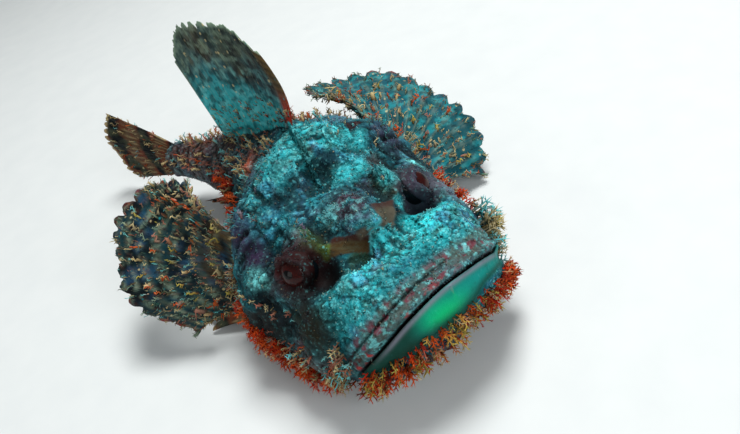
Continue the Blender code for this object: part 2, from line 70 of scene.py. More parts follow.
# The body from the snout to the tail root
SNOUT_Y = -98.0
BODY_LENGTH = 196.0
HALF_WIDTHS = [(0, 1), (1, 9), (4, 18), (10, 27), (18, 33), (28, 37), (40, 39), (52, 41.5), (64, 44),
               (76, 44), (88, 41.5), (102, 37), (118, 31), (134, 25), (150, 19), (166, 13.5), (182, 9.5),
               (196, 8)]
TOP_LINE = [(0, 45), (6, 48.5), (16, 51), (28, 52.5), (42, 54), (54, 56.5), (66, 60), (78, 63.5), (88, 64.5),
            (100, 62), (116, 56.5), (134, 50), (152, 43.5), (172, 38), (196, 34)]
BOTTOM_LINE = [(0, 39), (1.5, 30), (4, 20), (8, 10), (14, 3), (20, 0), (28, -1.2), (70, -1.6), (112, -1.2),
               (126, 1), (144, 5.5), (162, 9.5), (180, 12.5), (196, 13.5)]
WIDEST_LINE = [(0, 40), (6, 31), (14, 26), (30, 24), (60, 25), (90, 27), (130, 26), (160, 25), (196, 23.5)]
UPPER_POWERS = [(0, 2.0), (20, 2.5), (45, 2.6), (70, 2.1), (95, 1.9), (150, 1.75), (196, 2.0)]
LOWER_POWERS = [(0, 2.0), (20, 2.4), (60, 3.0), (110, 3.0), (150, 2.2), (196, 2.0)]
MIDDLE_LINE = [(0, -1.5), (20, -2.8), (44, -3.8), (60, -3), (80, 1.5), (108, 8), (146, 3), (174, -7),
               (196, -17), (245, -40)]

# The mouth
JAW_TIP = np.array([0, 0, 45.0])
MOUTH_CORNER = np.array([30, 14, 25.5])
MOUTH_HEART = np.array([0, 22, 14.5])
MOUTH_FADE = 6.0
LIP_SWELL = 2.0
SLIT_HALF = 0.45
SLIT_DEPTH = 5.0
FOLD_HEIGHT = 5.6
SLIT_LINE = [(-32, -1.8), (-24, -1.0), (-16, 0.2), (-2, 1.2), (13, 1.0), (24, 0.9), (29, 2.2), (33, 4.5)]
CHIN_DEPTHS = [(-32, 2.5), (-26, 5.2), (-20, 6.8), (-14, 8.6), (-7, 9.8), (0, 10.4), (6, 9.4), (12, 7.2),
               (18, 6.0), (26, 4.6), (33, 1.5)]

# How the lips swell in the solids, and how the skin stands out along them: height over the mouth's
# line, half width and strength
LIP_SWELLS = ((2.6, 2.0, 1.0), (-4.5, 3.6, 1.5))
LIP_RIDGES = ((1.7, 0.9, 0.7), (-1.6, 1.0, 0.5))

# The lips swell away from this point
HEAD_HEART = np.array([0, 30.0, 30.0])

# Eyes and nostrils
EYE_CENTRE = np.array([25, 44.5, 46.8])
EYE_RADIUS = 6.8
EYE_WAY = np.array([0.78, -0.36, 0.51])
LID_OPENING = 46.0
LID_DROOP = 11.0
LID_END = 112.0
NOSTRIL = np.array([10.5, 24, 51])
NOSTRIL_RADIUS = 1.4
NOSTRIL_DEPTH = 2.6
NOSTRIL_RIM = 0.9

# Dents and bumps, as in the solids: centre, reach and push; those off the middle line are mirrored
DENTS_AND_BUMPS = {
    "snout boss": ((0, 40, 57), (10, 12, 12), (0, -2.0, 6.5)),
    "boss brow": ((0, 31, 55), (8, 5, 9), (0, -3.5, 4.0)),
    "hollow beside boss": ((9.5, 30, 53), (5.5, 6, 9), (0, 2.0, -6.0)),
    "hollow under boss": ((0, 22, 53), (9, 6, 9), (0, 1.0, -3.0)),
    "hollow behind boss": ((0, 64, 62), (12, 7, 10), (0, 0, -5.0)),
    "groove beside boss": ((13, 47, 56), (4.5, 10, 8), (0, 0, -3.5)),
    "eye mound": ((25.5, 46, 48), (8.5, 9, 9), (2.0, -0.6, 2.6)),
    "brow": ((17.5, 49, 55), (4.5, 7, 7), (0.5, 0, 3.5)),
    "pit before eye": ((20.5, 35.5, 46), (6, 5, 9), (-1.5, 3.0, -9.0)),
    "pit rim": ((22, 25, 45), (10, 4.5, 8), (0.5, -1.0, 2.5)),
    "hollow under eye": ((37, 45, 32), (8, 9, 7), (-4.5, 0, -1.5)),
    "jaw bulge": ((19, 13, 44), (10, 9, 10), (1.0, -1.0, 1.5)),
    "cheek": ((41, 30, 22), (10, 11, 11), (3.5, 0, 0)),
    "nape knob": ((11, 78, 64), (8, 10, 9), (1.5, 0, 4.5)),
    "nape side hollow": ((28, 62, 52), (8, 9, 10), (-2.0, 0, -4.0)),
    "shoulder": ((31, 80, 48), (11, 10, 12), (2.5, 0, 3.5)),
    "gill cover": ((46, 62, 30), (10, 12, 14), (2.5, 0, 0)),
    "hump": ((0, 88, 65), (9, 14, 12), (0, 0, 2.0)),
}

# How far over and under itself a plate's place reaches
PLATE_DEPTH = 8.0

# Where the chin is greenest, partly by a painted highlight, and where the boss is highest, at their true
# places
CHIN_HEART = (-6.5, -1, 38)
BOSS_CROWN = (-5, 43, 60)

# Finer forms of the skin alone: centre, reach and how far the skin is pushed out
KNOBS = {
    "boss crown": ((0, 42, 62), (5, 7, 8), 1.5),
    "boss lobe": ((5.5, 35, 61), (3.2, 3.5, 6), 1.6),
    "boss foot hollow": ((9.5, 30.5, 52), (4.2, 4.2, 6), -2.2),
    "deep pit": ((21.5, 33, 42.5), (5.0, 4.8, 7), -3.6),
    "pit front": ((24, 27, 47), (6, 3.2, 6), -1.2),
    "eye ridge": ((31.5, 38, 42), (3.5, 5, 5), 1.2),
    "brow knob": ((19, 53, 57), (3.2, 4, 5), 1.6),
    "nape knob crown": ((10, 80, 69), (4.5, 5, 6), 1.4),
    "nape dent": ((19, 70, 60), (3.5, 4, 6), -2.0),
    "middle dent": ((2, 68, 60), (5, 4, 7), -1.8),
    "shoulder dent": ((38, 72, 44), (4, 5, 5), -2.2),
    "cheek dent": ((40, 37, 24), (4, 5, 5), -1.6),
    "lip corner fold": ((31, 20, 24), (4, 4, 6), 1.6),
    "chin knob": ((0, 3, 30), (7, 6, 6), 0.8),
    "back dent": ((13, 100, 58), (6, 8, 7), -1.8),
}

# The photograph shows the left cheek fuller than the right: a true place, reach and push
LEFT_CHEEK = ((39, 40, 41), (9, 13, 10), 4.2)

# Folds: a line that the crease follows, its half width and its depth; a negative depth is a ridge
CREASES = {
    "gill slit": ([(33, 72, 52), (43, 78, 44), (47, 81, 31), (46, 79, 16), (40, 68, 5)], 1.5, 2.4),
    "gill cover edge": ([(32, 69, 52), (42, 75, 44), (45.5, 78, 31), (44, 76, 17)], 1.6, -1.6),
    "cheek bone": ([(38, 50, 40), (44, 56, 32), (45, 56, 20), (42, 50, 9)], 1.3, 1.3),
    "cheek ridge": ([(34, 36, 36), (39, 46, 35), (42, 54, 34), (44, 64, 34)], 1.6, -1.3),
    "upper jaw plate": ([(22, 16, 43), (31, 22, 34), (36, 27, 22), (35, 25, 13)], 1.2, 1.6),
    "throat fold": ([(12, 14, 8), (22, 20, 6), (30, 30, 4)], 1.4, 1.4),
    "boss furrow": ([(10, 24, 52), (9, 36, 56), (10, 48, 57), (6, 56, 58)], 1.2, 1.3),
    "brow furrow": ([(24, 56, 54), (17, 62, 58), (9, 66, 61)], 1.4, 1.4),
    "shoulder furrow": ([(22, 72, 60), (24, 84, 60), (20, 94, 62)], 1.4, 1.5),
    "side furrow": ([(36, 96, 40), (32, 112, 38), (24, 132, 34), (17, 150, 32)], 1.2, 1.0),
}

# Colours as a screen shows them, 0 to 255
INK = (5, 13, 17)
DEEP_TEAL = (10, 46, 54)
TEAL = (20, 98, 110)
SEA = (28, 149, 157)
BRIGHT = (60, 208, 216)
PALE = (118, 214, 216)
GLOW = (56, 232, 240)
GREY_GREEN = (38, 84, 76)
STEEL = (62, 112, 158)
BLACK = (8, 8, 8)
PUPIL = (2, 2, 3)
IRIS = (52, 12, 8)
DARKEST_RED = (34, 9, 8)
PLATE_BROWN = (70, 55, 32)
PLATE_GREY = (86, 80, 68)
DARK_OLIVE = (30, 29, 19)
DARK_RED_BROWN = (54, 26, 28)
STEEL_CYAN = (36, 132, 140)
DARK_PLUM = (50, 34, 60)
SLATE = (46, 62, 76)
DARK_UMBER = (30, 24, 20)
BROWN = (92, 72, 40)
MOSS = (58, 78, 44)
MAROON = (58, 14, 12)
UMBER = (88, 82, 70)
WINE = (112, 40, 58)
LIME = (98, 128, 42)
RED = (176, 38, 16)
ORANGE = (206, 84, 30)
CREAM = (206, 188, 138)
STRAW = (190, 176, 84)
ROSE = (168, 110, 92)
PLUM = (84, 66, 96)
MAUVE = (122, 122, 136)
GREEN = (10, 184, 112)
CHIN = (16, 128, 120)
DARK_CHIN = (18, 48, 38)
SLIT_TONE = (22, 8, 12)
OLIVE = (78, 84, 64)
FIN_TEAL = (30, 84, 96)
PALE_OLIVE = (132, 156, 134)
RUST = (92, 44, 26)
BELLY = (150, 156, 146)

# Markings of both sides of the skin, and painted shade in the pits before the eyes: centre, reach, colour and
# strength
MARKINGS = {
    "rear body": ((0, 165, 35), (60, 46, 60), RUST, 0.66),
    "rear shade": ((0, 128, 20), (60, 34, 22), INK, 0.72),
    "hind back": ((0, 120, 56), (26, 20, 16), DEEP_TEAL, 0.80),
    "flank dark": ((34, 112, 36), (14, 22, 16), INK, 0.80),
    "flank smile": ((22, 116, 52), (9, 13, 3.5), ORANGE, 0.70),
    "snout": ((0, 17, 50), (34, 14, 12), SEA, 0.95),
    "snout light": ((6, 22, 51), (17, 8, 8), BRIGHT, 0.55),
    "jaw light": ((25, 18, 42), (9, 8, 8), SEA, 0.90),
    "nape": ((8, 80, 68), (17, 14, 12), SEA, 0.92),
    "nape light": ((12, 78, 68), (9, 8, 8), BRIGHT, 0.20),
    "crown side": ((20, 64, 56), (11, 9, 8), TEAL, 0.80),
    "brow moss": ((17, 46, 54), (4.5, 6.5, 4.5), MOSS, 0.92),
    "eye surround": ((25.5, 43.5, 47), (11.5, 11, 11), MAROON, 0.97),
    # painted shade: black in the deep pit before each eye
    "eye pit shade": ((20, 36, 42), (7, 6, 8), BLACK, 0.98),
    "under eye shade": ((36, 44, 30), (8, 8, 7), INK, 0.70),
    "cheek": ((38, 32, 20), (9, 11, 9), RUST, 0.70),
    "shoulder": ((34, 76, 46), (9, 10, 10), DARK_PLUM, 0.75),
    "gill cover": ((44, 62, 32), (10, 16, 18), INK, 0.72),
    "gill patch": ((38, 57, 45), (3.5, 6.5, 2.6), PALE, 0.75),
    "gill foot": ((46, 62, 13), (9, 20, 7), MAROON, 0.85),
    "jaw foot": ((42, 38, 8), (12, 18, 7), RUST, 0.85),
    "throat": ((0, 18, 8), (34, 16, 9), RUST, 0.80),
    "belly": ((0, 80, -4), (36, 70, 7), BELLY, 0.90),
}

# Markings that the photograph shows on one side only, at their true places
# Some of them are painted light: shade in the right pit, and a highlight over the left rim's pale skin
SEEN_MARKINGS = {
    "left cheek": ((36, 40, 42), (8, 14, 10), MAUVE, 0.55),
    "left cheek shade": ((33, 50, 47), (6, 7, 8), INK, 0.60),
    "left brow rust": ((22, 62, 53), (7, 5, 5), RUST, 0.50),
    "boss pale": ((-4, 46, 58), (9, 12, 7), SLATE, 0.80),
    "boss ring": ((-4.5, 43, 60), (6.0, 7.0, 6), WINE, 0.42),
    "boss heart": ((-5, 42, 61), (2.8, 3.0, 4), TEAL, 0.85),
    "boss side": ((-11, 47, 56.5), (4.2, 5.5, 4), PALE, 0.30),
    "right plate foot": ((-12.2, 31.5, 46.6), (4.0, 3.0, 2.0), MOSS, 0.80),
    "moss light": ((-19.5, 40.5, 51), (2.8, 2.4, 3.0), LIME, 0.75),
    "moss foot": ((-21, 46, 52), (3.2, 6, 4), MOSS, 0.85),
    # Partly painted highlight: these left rim entries brighten the pale cyan skin beside the left pit to a
    # glow
    "left rim": ((8.8, 30.0, 46.8), (3.6, 4.6, 3.4), GLOW, 0.92),
    "left rim front": ((10, 23.6, 49.2), (3.8, 4.2, 3.2), GLOW, 0.85),
    "left brow light": ((14.6, 47.5, 55.5), (3.6, 4.6, 3.6), BRIGHT, 0.50),
    "nape left light": ((20, 74, 58.5), (7, 6, 5), BRIGHT, 0.40),
    "snout shade": ((-6, 11, 48), (13, 8, 6), TEAL, 0.65),
    # Also partly painted highlight, over the pale cyan skin below the left pit
    "left rim low": ((20, 29.5, 43), (6.5, 3.2, 4.5), GLOW, 0.62),
    "left rim edge": ((12.3, 38.5, 50), (2.4, 4.5, 3), BRIGHT, 0.75),
    "cheek column": ((-38, 31, 36), (9, 11.5, 12.5), DARK_OLIVE, 0.96),
    "lobe light": ((-29.5, 18.5, 42.5), (4.5, 4.5, 8.5), STEEL_CYAN, 0.80),
    "right eye dome": ((-29.5, 42, 47.5), (10.5, 9.5, 10), DARKEST_RED, 0.97),
    "right eye glow": ((-33, 46, 48), (5, 4.5, 4), MAROON, 0.80),
    "right eye slope": ((-30, 35, 46), (7, 4.5, 5), BLACK, 0.80),
    "left eye dome": ((21.2, 44, 47.2), (9, 10, 9), SLATE, 0.66),
    # painted shade: black in the deep pit before the right eye
    "right pit shade": ((-23.8, 32, 45), (6.0, 8.2, 7.5), BLACK, 0.98),
    "nape shade": ((4, 71, 59), (8, 5.5, 6), INK, 0.90),
    "nape left shade": ((-15, 67, 58), (6, 5, 6), DEEP_TEAL, 0.90),
    "hump shade": ((-12, 78, 66), (8, 8, 7), TEAL, 0.40),
    "back spot ring": ((26, 82, 58), (4.6, 5.2, 5), INK, 0.85),
    "back spot": ((26, 82, 58), (2.6, 3.0, 3), MAROON, 0.90),
    "crown light": ((11, 62, 56), (9, 5, 6), BRIGHT, 0.50),
    "shoulder shade": ((-35, 63, 46), (7, 7, 5), INK, 0.72),
    "gill plum": ((-35, 65, 45), (5, 6, 6), DARK_PLUM, 0.85),
    "gill shade": ((-43, 50, 38), (5, 8, 5), INK, 0.80),
    "gill foot shade": ((-45, 54, 26), (8, 14, 9), DARK_UMBER, 0.92),
}

# The smooth plates beside the boss, at their true places: centre, half of the length, half of the
# height, and colour
PLATES = {
    "right": ((-12.6, 34.8, 50.9), (4.6, -5.2, 0.3), (1.55, 0.9, 2.6), PLATE_BROWN),
    "left": ((2.3, 34.4, 54.0), (4.7, 2.9, -4.3), (2.6, 4.1, 1.2), PLATE_GREY),
}

# Mottling over the markings: colour, size of its patches, where it starts in the noise, and strength
MOTTLES = ((INK, 4.4, 0.14, 0.62), (GREY_GREEN, 3.4, 0.02, 0.62), (STEEL, 5.0, 0.16, 0.50),
           (UMBER, 2.8, 0.26, 0.40), (PALE, 1.9, 0.20, 0.40))

# Specks in the materials: shift of their pattern, how many to the metre, share of the cells that are
# specks, colour and strength
SKIN_SPECKS = ((2.3, 640, 0.22, INK, 0.85), (1.1, 900, 0.17, PALE, 0.8), (3.7, 560, 0.07, PLUM, 0.7),
               (5.2, 760, 0.03, ROSE, 0.8))
COAT_SPECKS = ((4.4, 1300, 0.16, CREAM, 0.4),)
FIN_SPECKS = ((1.7, 620, 0.12, CREAM, 0.6), (2.9, 520, 0.10, INK, 0.6), (4.1, 700, 0.08, SEA, 0.6))
EYE_SPECKS = ((6.1, 1600, 0.14, RUST, 0.5),)

# The camera, where the photograph was taken from
CAMERA_PLACE = (-80.0, -134.0, 201.0)
CAMERA_TURN = -24.7
CAMERA_RISE = 38.0
CAMERA_ROLL = 20.2
LENS = 35.0
SENSOR = 36.0

# Each layer of noise adds its own number to the seed
SEED = 11

# Whole numbers that stir a cell's place and its layer into one number
HASH_STEPS = (73856093, 19349663, 83492791)
HASH_LAYER = 40503
HASH_START = 977
HASH_STIR = 0x2C1B3C6D
HASH_LIMIT = 0xFFFFFFFF

# The skin's own relief: size of the forms, and how far they stand out or sink in; a wart's or
# granule's radius is a share of its cell's size, from the first value to both together
FOLD_SIZE = 15
FOLD_DEPTH = 0.7
LUMP_SIZE = 10
LUMP_HEIGHT = 1.2
PIT_SIZE = 6.5
PIT_DEPTH = 0.9
PIT_RADIUS = 0.32
WART_SIZE = 3.6
WART_HEIGHT = 0.8
WART_RADIUS = (0.25, 0.45)
GRAIN_SIZE = 1.6
GRAIN_HEIGHT = 0.42
GRAIN_RADIUS = (0.3, 0.45)

# The skin is drawn in by this much, so that its warts stand about as far out as the solids' faces
SKIN_SHRINK = 0.5


# Curves and the body's loft, as in the part's source

def curve_through(points):
    """A smooth curve through (place, value) pairs that does not overshoot them."""
    places = np.array([place for place, _ in points], float)
    values = np.array([value for _, value in points], float)
    slopes = np.diff(values) / np.diff(places)
    tangents = np.empty(len(places))
    tangents[0] = slopes[0]
    tangents[-1] = slopes[-1]
    before, after = slopes[:-1], slopes[1:]
    same_way = before * after > 0
    tangents[1:-1] = np.where(same_way, 2 * before * after / np.where(same_way, before + after, 1), 0)

    def value_at(place):
        place = np.clip(place, places[0], places[-1])
        i = np.clip(np.searchsorted(places, place) - 1, 0, len(slopes) - 1)
        span = places[i + 1] - places[i]
        t = (place - places[i]) / span
        start = (1 + 2 * t) * (1 - t) ** 2 * values[i] + t * (1 - t) ** 2 * span * tangents[i]
        end = t * t * (3 - 2 * t) * values[i + 1] + t * t * (t - 1) * span * tangents[i + 1]
        return start + end

    return value_at


half_width = curve_through(HALF_WIDTHS)
top_height = curve_through(TOP_LINE)
bottom_height = curve_through(BOTTOM_LINE)
widest_height = curve_through(WIDEST_LINE)
upper_power = curve_through(UPPER_POWERS)
lower_power = curve_through(LOWER_POWERS)
sideways = curve_through(MIDDLE_LINE)
slit_height = curve_through(SLIT_LINE)
chin_depth = curve_through(CHIN_DEPTHS)


def plain_section(y, angle):
    """Points of the loft before any dent: angle 0 is the belly, pi is the back."""
    across, up = np.sin(angle), -np.cos(angle)
    power = np.where(up > 0, upper_power(y), lower_power(y))
    across = np.sign(across) * np.abs(across) ** (2 / power)
    up = np.sign(up) * np.abs(up) ** (2 / power)
    middle = widest_height(y)
    reach = np.where(up > 0, top_height(y) - middle, middle - bottom_height(y))
    return np.stack([half_width(y) * across, y + 0 * across, middle + reach * up], axis=-1)


def unit(vectors):
    """Vectors in the same directions, one long."""
    return vectors / np.maximum(np.linalg.norm(vectors, axis=-1, keepdims=True), 1e-9)


def band(value, middle, width, steep=2):
    """1 where the value is at the middle, falling to 0 a few widths away from it."""
    return np.exp(-((value - middle) / width) ** steep)


def mouth_side():
    """The mouth plane's unit normal, pointing up and out over the upper jaw."""
    down = MOUTH_CORNER * np.array([0, 1, 1]) - JAW_TIP
    return unit(np.cross(np.array([1.0, 0, 0]), down))


def over_mouth(points):
    """Height over the plane of the mouth: above 0 is the upper jaw."""
    return (points - JAW_TIP) @ mouth_side()


def across_fish(points):
    """How far points lie to the left (above 0) or right of the fish's bent middle."""
    return points[..., 0] - sideways(points[..., 1])


def mirrored(points, side):
    """Points or ways given for the left side, for the left (1) or right (-1) side."""
    return np.array(points, float) * (side, 1, 1)


def beside(point, side=1):
    """A point of the left (1) or right (-1) side of a straight fish, beside the bent one."""
    return np.array([point[0] * side + float(sideways(point[1])), point[1], point[2]])


def mirrored_places(centre):
    """A centre, and its mirror image unless it is on the middle line."""
    if centre[0] == 0:
        return [(np.array(centre, float), 1)]
    return [(mirrored(centre, side), side) for side in (1, -1)]


def shaped(points):
    """The loft's points with the lips, dents and bumps put in and the tail swung."""
    height = over_mouth(points)
    swell = sum(strength * band(height, middle, width) for middle, width, strength in LIP_SWELLS)
    near_front = np.clip((MOUTH_CORNER[1] + 4 - points[..., 1]) / MOUTH_FADE, 0, 1)
    swell = LIP_SWELL * swell * near_front
    pushed = points + unit(points - HEAD_HEART) * swell[..., None]
    for centre, reach, push in DENTS_AND_BUMPS.values():
        for place, side in mirrored_places(centre):
            away = (points - place) / np.array(reach)
            pushed += np.exp(-(away ** 2).sum(axis=-1))[..., None] * mirrored(push, side)
    pushed[..., 0] += sideways(points[..., 1])
    return pushed


def ridge(y, angle):
    """The skin's point at a station on the back (pi) or belly (0), dents and bend included."""
    return shaped(plain_section(np.array([float(y)]), np.array([angle])))[0]


# Noise

def hashed(cells, layer):
    """A repeatable number from 0 to 1 for each whole-numbered cell of a layer."""
    cells = cells.astype(np.uint64)
    number = np.uint64((SEED + layer) * HASH_LAYER + HASH_START)
    for axis, step in enumerate(HASH_STEPS):
        number = number ^ cells[..., axis] * np.uint64(step)
    for _ in range(2):
        number = (number ^ (number >> np.uint64(15))) * np.uint64(HASH_STIR)
        number = (number ^ (number >> np.uint64(12))) & np.uint64(HASH_LIMIT)
    return number.astype(float) / HASH_LIMIT


def soft_noise(points, size, layer):
    """Smooth noise from -1 to 1, with lumps of about this size."""
    place = points / size
    cell = np.floor(place).astype(np.int64)
    part = place - cell
    ease = part ** 3 * (part * (part * 6 - 15) + 10)
    total = 0.0
    for corner in product((0, 1), repeat=3):
        weight = np.prod(np.where(corner, ease, 1 - ease), axis=-1)
        total = total + weight * hashed(cell + np.array(corner), layer)
    return total * 2 - 1


def rough_noise(points, size, layer, octaves):
    """Layers of soft noise, each half as large and half as strong as the one before."""
    total, strength = 0.0, 0.0
    for k in range(octaves):
        total = total + soft_noise(points, size / 2 ** k, layer + k) / 2 ** k
        strength += 1 / 2 ** k
    return total / strength


def cell_noise(points, size, layer):
    """Distance to the nearest of scattered points, in sizes, and that point's own number."""
    place = points / size
    cell = np.floor(place).astype(np.int64)
    best = np.full(place.shape[:-1], 9.0)
    own = np.zeros(place.shape[:-1])
    for step in product((-1, 0, 1), repeat=3):
        near = cell + np.array(step)
        spot = near + np.stack([hashed(near, layer + k) for k in range(3)], axis=-1)
        away = ((place - spot) ** 2).sum(axis=-1)
        closer = away < best
        best = np.where(closer, away, best)
        own = np.where(closer, hashed(near, layer + 3), own)
    return np.sqrt(best), own


def smooth_step(start, end, value):
    """0 at the start and 1 at the end, easing in and out between them."""
    t = np.clip((value - start) / (end - start), 0, 1)
    return t * t * (3 - 2 * t)


def patches(points, size, layer, octaves, start, end):
    """Patches of about this size: 0 where the noise is below the start, 1 where it is above the end."""
    return smooth_step(start, end, rough_noise(points, size, layer, octaves))


def drift(points, size, layer, octaves):
    """Wandering ways that make a border ragged."""
    return np.stack([rough_noise(points, size, layer + k, octaves) for k in range(3)], axis=-1)


def domes(points, size, layer, radius, spread=0.0):
    """Scattered round domes, 1 at their tops, and the own number of each, which makes it wider."""
    away, own = cell_noise(points, size, layer)
    return np.clip(1 - (away / (radius + spread * own)) ** 2, 0, 1), own


def closeness(points, centre, reach, steep=2.0):
    """1 at the centre and 0 well outside the reach; centres off the middle line are mirrored."""
    total = np.zeros(points.shape[:-1])
    for place, _ in mirrored_places(centre):
        total = np.maximum(total, single_closeness(points, place + (sideways(place[1]), 0, 0), reach, steep))
    return total


def single_closeness(points, centre, reach, steep):
    """1 at a true place on the fish and 0 well outside the reach, on one side only."""
    away = np.sqrt((((points - np.array(centre)) / np.array(reach)) ** 2).sum(axis=-1))
    return np.exp(-away ** steep)


def line_closeness(points, line, width, side):
    """1 on a broken line on one side of the fish, falling to 0 at a few widths from it."""
    line = mirrored(line, side)
    line[:, 0] += sideways(line[:, 1])
    nearest = np.full(points.shape[:-1], 1e9)
    for start, end in zip(line, line[1:]):
        span = end - start
        t = np.clip(((points - start) @ span) / (span @ span), 0, 1)
        away = ((points - start - t[..., None] * span) ** 2).sum(axis=-1)
        nearest = np.minimum(nearest, away)
    return np.exp(-nearest / width ** 2)


# The skin's form

def over_slit(points):
    """Height over the line where the lips meet, which wanders a little about the mouth's plane."""
    return over_mouth(points) - slit_height(across_fish(points))


def at_mouth(points):
    """1 at the front of the jaws, fading out just behind the mouth's corners."""
    return smooth_step(MOUTH_CORNER[1] + 5, MOUTH_CORNER[1] - 1, points[..., 1])


def chin_share(points):
    """1 on the smooth crescent under the lower lip, which is deepest a little left of the middle."""
    height = over_slit(points)
    depth = chin_depth(across_fish(points)) + 0.7 * soft_noise(points, 3.5, 15)
    return smooth_step(-depth - 1.2, -depth + 0.8, height) * smooth_step(0.4, -0.6, height) * at_mouth(points)


def on_plate(points, plate, edge):
    """Places along and up a plate, -1 to 1 on it, and 1 well inside its edge or 0 outside it."""
    centre, along, up = (np.array(value, float) for value in plate[:3])
    frame = np.array([along, up, PLATE_DEPTH * unit(np.cross(along, up))])
    place = (points - centre) @ np.linalg.inv(frame)
    share = smooth_step(edge, edge - 0.18, np.abs(place).max(axis=-1))
    return place[..., 0], place[..., 1], share


def smooth_share(points):
    """0 where the skin is granular, 1 where it is smooth."""
    plates = 0.85 * np.maximum(*(on_plate(points, plate, 1.2)[2] for plate in PLATES.values()))
    pits = 0.9 * closeness(points, (20, 36, 42), (7, 6, 9), 4)
    belly = smooth_step(7, 1, points[..., 2])
    return np.clip(np.maximum.reduce([0.95 * chin_share(points), plates, pits, 0.8 * belly]), 0, 1)


def form_push(points):
    """How far the knobs, the fuller left cheek and the folds push the skin out."""
    push = np.zeros(points.shape[:-1])
    for centre, reach, amount in KNOBS.values():
        push += amount * closeness(points, centre, reach)
    centre, reach, amount = LEFT_CHEEK
    push += amount * single_closeness(points, centre, reach, 2.0)
    for line, width, depth in CREASES.values():
        for side in (1, -1):
            push -= depth * line_closeness(points, line, width, side)
    return push


def with_detail(points, normals):
    """Knobs, folds, lumps, pits, warts and granules on the skin."""
    push = form_push(points)
    rough = 1 - smooth_share(points)
    folds = 1 - np.abs(rough_noise(points, FOLD_SIZE, 0, 3)) * 2.6
    push += rough * (LUMP_HEIGHT * rough_noise(points, LUMP_SIZE, 5, 4) - FOLD_DEPTH * np.clip(folds, 0, 1))
    pits, own = domes(points, PIT_SIZE, 30, PIT_RADIUS)
    push -= rough * PIT_DEPTH * (own > 0.6) * pits
    warts, own = domes(points + 0.6 * normals, WART_SIZE, 20, *WART_RADIUS)
    push += rough * WART_HEIGHT * smooth_step(0.3, 1, own) * warts
    grains, own = domes(points, GRAIN_SIZE, 40, *GRAIN_RADIUS)
    patchy = 0.35 + 0.65 * patches(points, 5, 45, 2, -0.3, 0.3)
    push += (0.05 + 0.95 * rough * patchy) * GRAIN_HEIGHT * own * grains
    return points + normals * (push - SKIN_SHRINK)[..., None]


def upper_fold(across, height, width):
    """1 on the fold over the upper lip, which fades out towards the left."""
    return band(height, FOLD_HEIGHT, width) * smooth_step(14, -4, across)


def with_mouth(points):
    """The slit of the mouth, sunk inward between the lips, and the fold over the upper lip."""
    height = over_slit(points)
    share = np.clip(np.abs(points[..., 0]) / MOUTH_CORNER[0], 0, 1.2)
    slit = band(height, 0, SLIT_HALF * (1.15 - 0.45 * share ** 2), 4)
    inward = MOUTH_HEART - points
    normal = mouth_side()
    inward = unit(inward - (inward @ normal)[..., None] * normal)
    fold = 1.1 * upper_fold(points[..., 0], height, 0.6)
    lips = -sum(strength * band(height, middle, width) for middle, width, strength in LIP_RIDGES)
    return points + inward * ((SLIT_DEPTH * slit + fold + lips) * at_mouth(points))[..., None]


def lid_reach(reach, turn, tilt, over, side):
    """How far from the eye's centre the skin stands, by the angle from the eye's axis and round it."""
    droop = LID_DROOP * np.clip(over, 0, 1) ** 2
    opening = LID_OPENING - droop + 3.0 * np.sin(3 * tilt + side) + 2.0 * np.sin(9 * tilt)
    rim = 0.7 + (1.2 + 0.5 * np.sin(7 * tilt + 1)) * band(turn - opening, 8, 7)
    lid = (EYE_RADIUS + rim) * smooth_step(LID_END, 80, turn)
    open_share = smooth_step(opening - 2.5, opening + 2.5, turn)
    return (EYE_RADIUS - 1.6) * (1 - open_share) + np.maximum(reach, lid) * open_share


def with_lids(points):
    """Round lids over the eyeballs: skin in front of an eye is opened, skin round it stands as a rim."""
    moved = points.copy()
    for side in (1, -1):
        centre = beside(EYE_CENTRE, side)
        way = unit(mirrored(EYE_WAY, side))
        spoke = moved - centre
        reach = np.linalg.norm(spoke, axis=-1)
        turn = np.degrees(np.arccos(np.clip((spoke @ way) / reach, -1, 1)))
        tilt = np.arctan2(spoke[..., 2], spoke[..., 1])
        over = unit(spoke - (spoke @ way)[..., None] * way) @ unit(np.array([0, 0, 1]) - way[2] * way)
        near = (reach < 2.4 * EYE_RADIUS) & (turn < LID_END)
        scale = np.where(near, lid_reach(reach, turn, tilt, over, side) / reach, 1.0)
        moved = centre + spoke * scale[..., None]
    return moved


def with_nostrils(points, normals):
    """A small pit with a raised rim on each side of the snout."""
    push = np.zeros(points.shape[:-1])
    for side in (1, -1):
        flat = np.sqrt(((points - beside(NOSTRIL, side))[..., :2] ** 2).sum(axis=-1))
        upper = points[..., 2] > 40
        push -= NOSTRIL_DEPTH * band(flat, 0, NOSTRIL_RADIUS, 4) * upper
        push += NOSTRIL_RIM * band(flat - NOSTRIL_RADIUS, 0.8, 0.7) * upper
    return points + normals * push[..., None]


def on_floor(points):
    """The points, with those under the floor lifted onto it."""
    points[..., 2] = np.maximum(points[..., 2], 0)
    return points


def grid_normals(points):
    """Outward normals of a grid that runs along the body and closes round it."""
    along = np.gradient(points, axis=0)
    around = np.roll(points, -1, axis=1) - np.roll(points, 1, axis=1)
    return unit(np.cross(along, around))


def blurred(points, reach):
    """The mean of each point's neighbours up to this many grid steps away."""
    padded = np.pad(points, ((reach, reach), (0, 0), (0, 0)), mode="edge")
    along = sum(padded[k:k + len(points)] for k in range(2 * reach + 1))
    around = sum(np.roll(along, k, axis=1) for k in range(-reach, reach + 1))
    return around / (2 * reach + 1) ** 2


# How many points go round the skin, and how far apart they are along it from the snout to the tail
SIDES = 400
FINENESS = [(0, 0.30), (20, 0.34), (30, 0.5), (90, 0.62), (110, 0.85), (196, 0.95)]


def lengths_along(line):
    """How far along a broken line each of its points lies."""
    return np.concatenate([[0], np.cumsum(np.linalg.norm(np.diff(line, axis=0), axis=-1))])


def points_along(line, places):
    """Points of a broken line at these distances along it."""
    return np.stack([np.interp(places, lengths_along(line), line[:, k]) for k in range(3)], axis=-1)


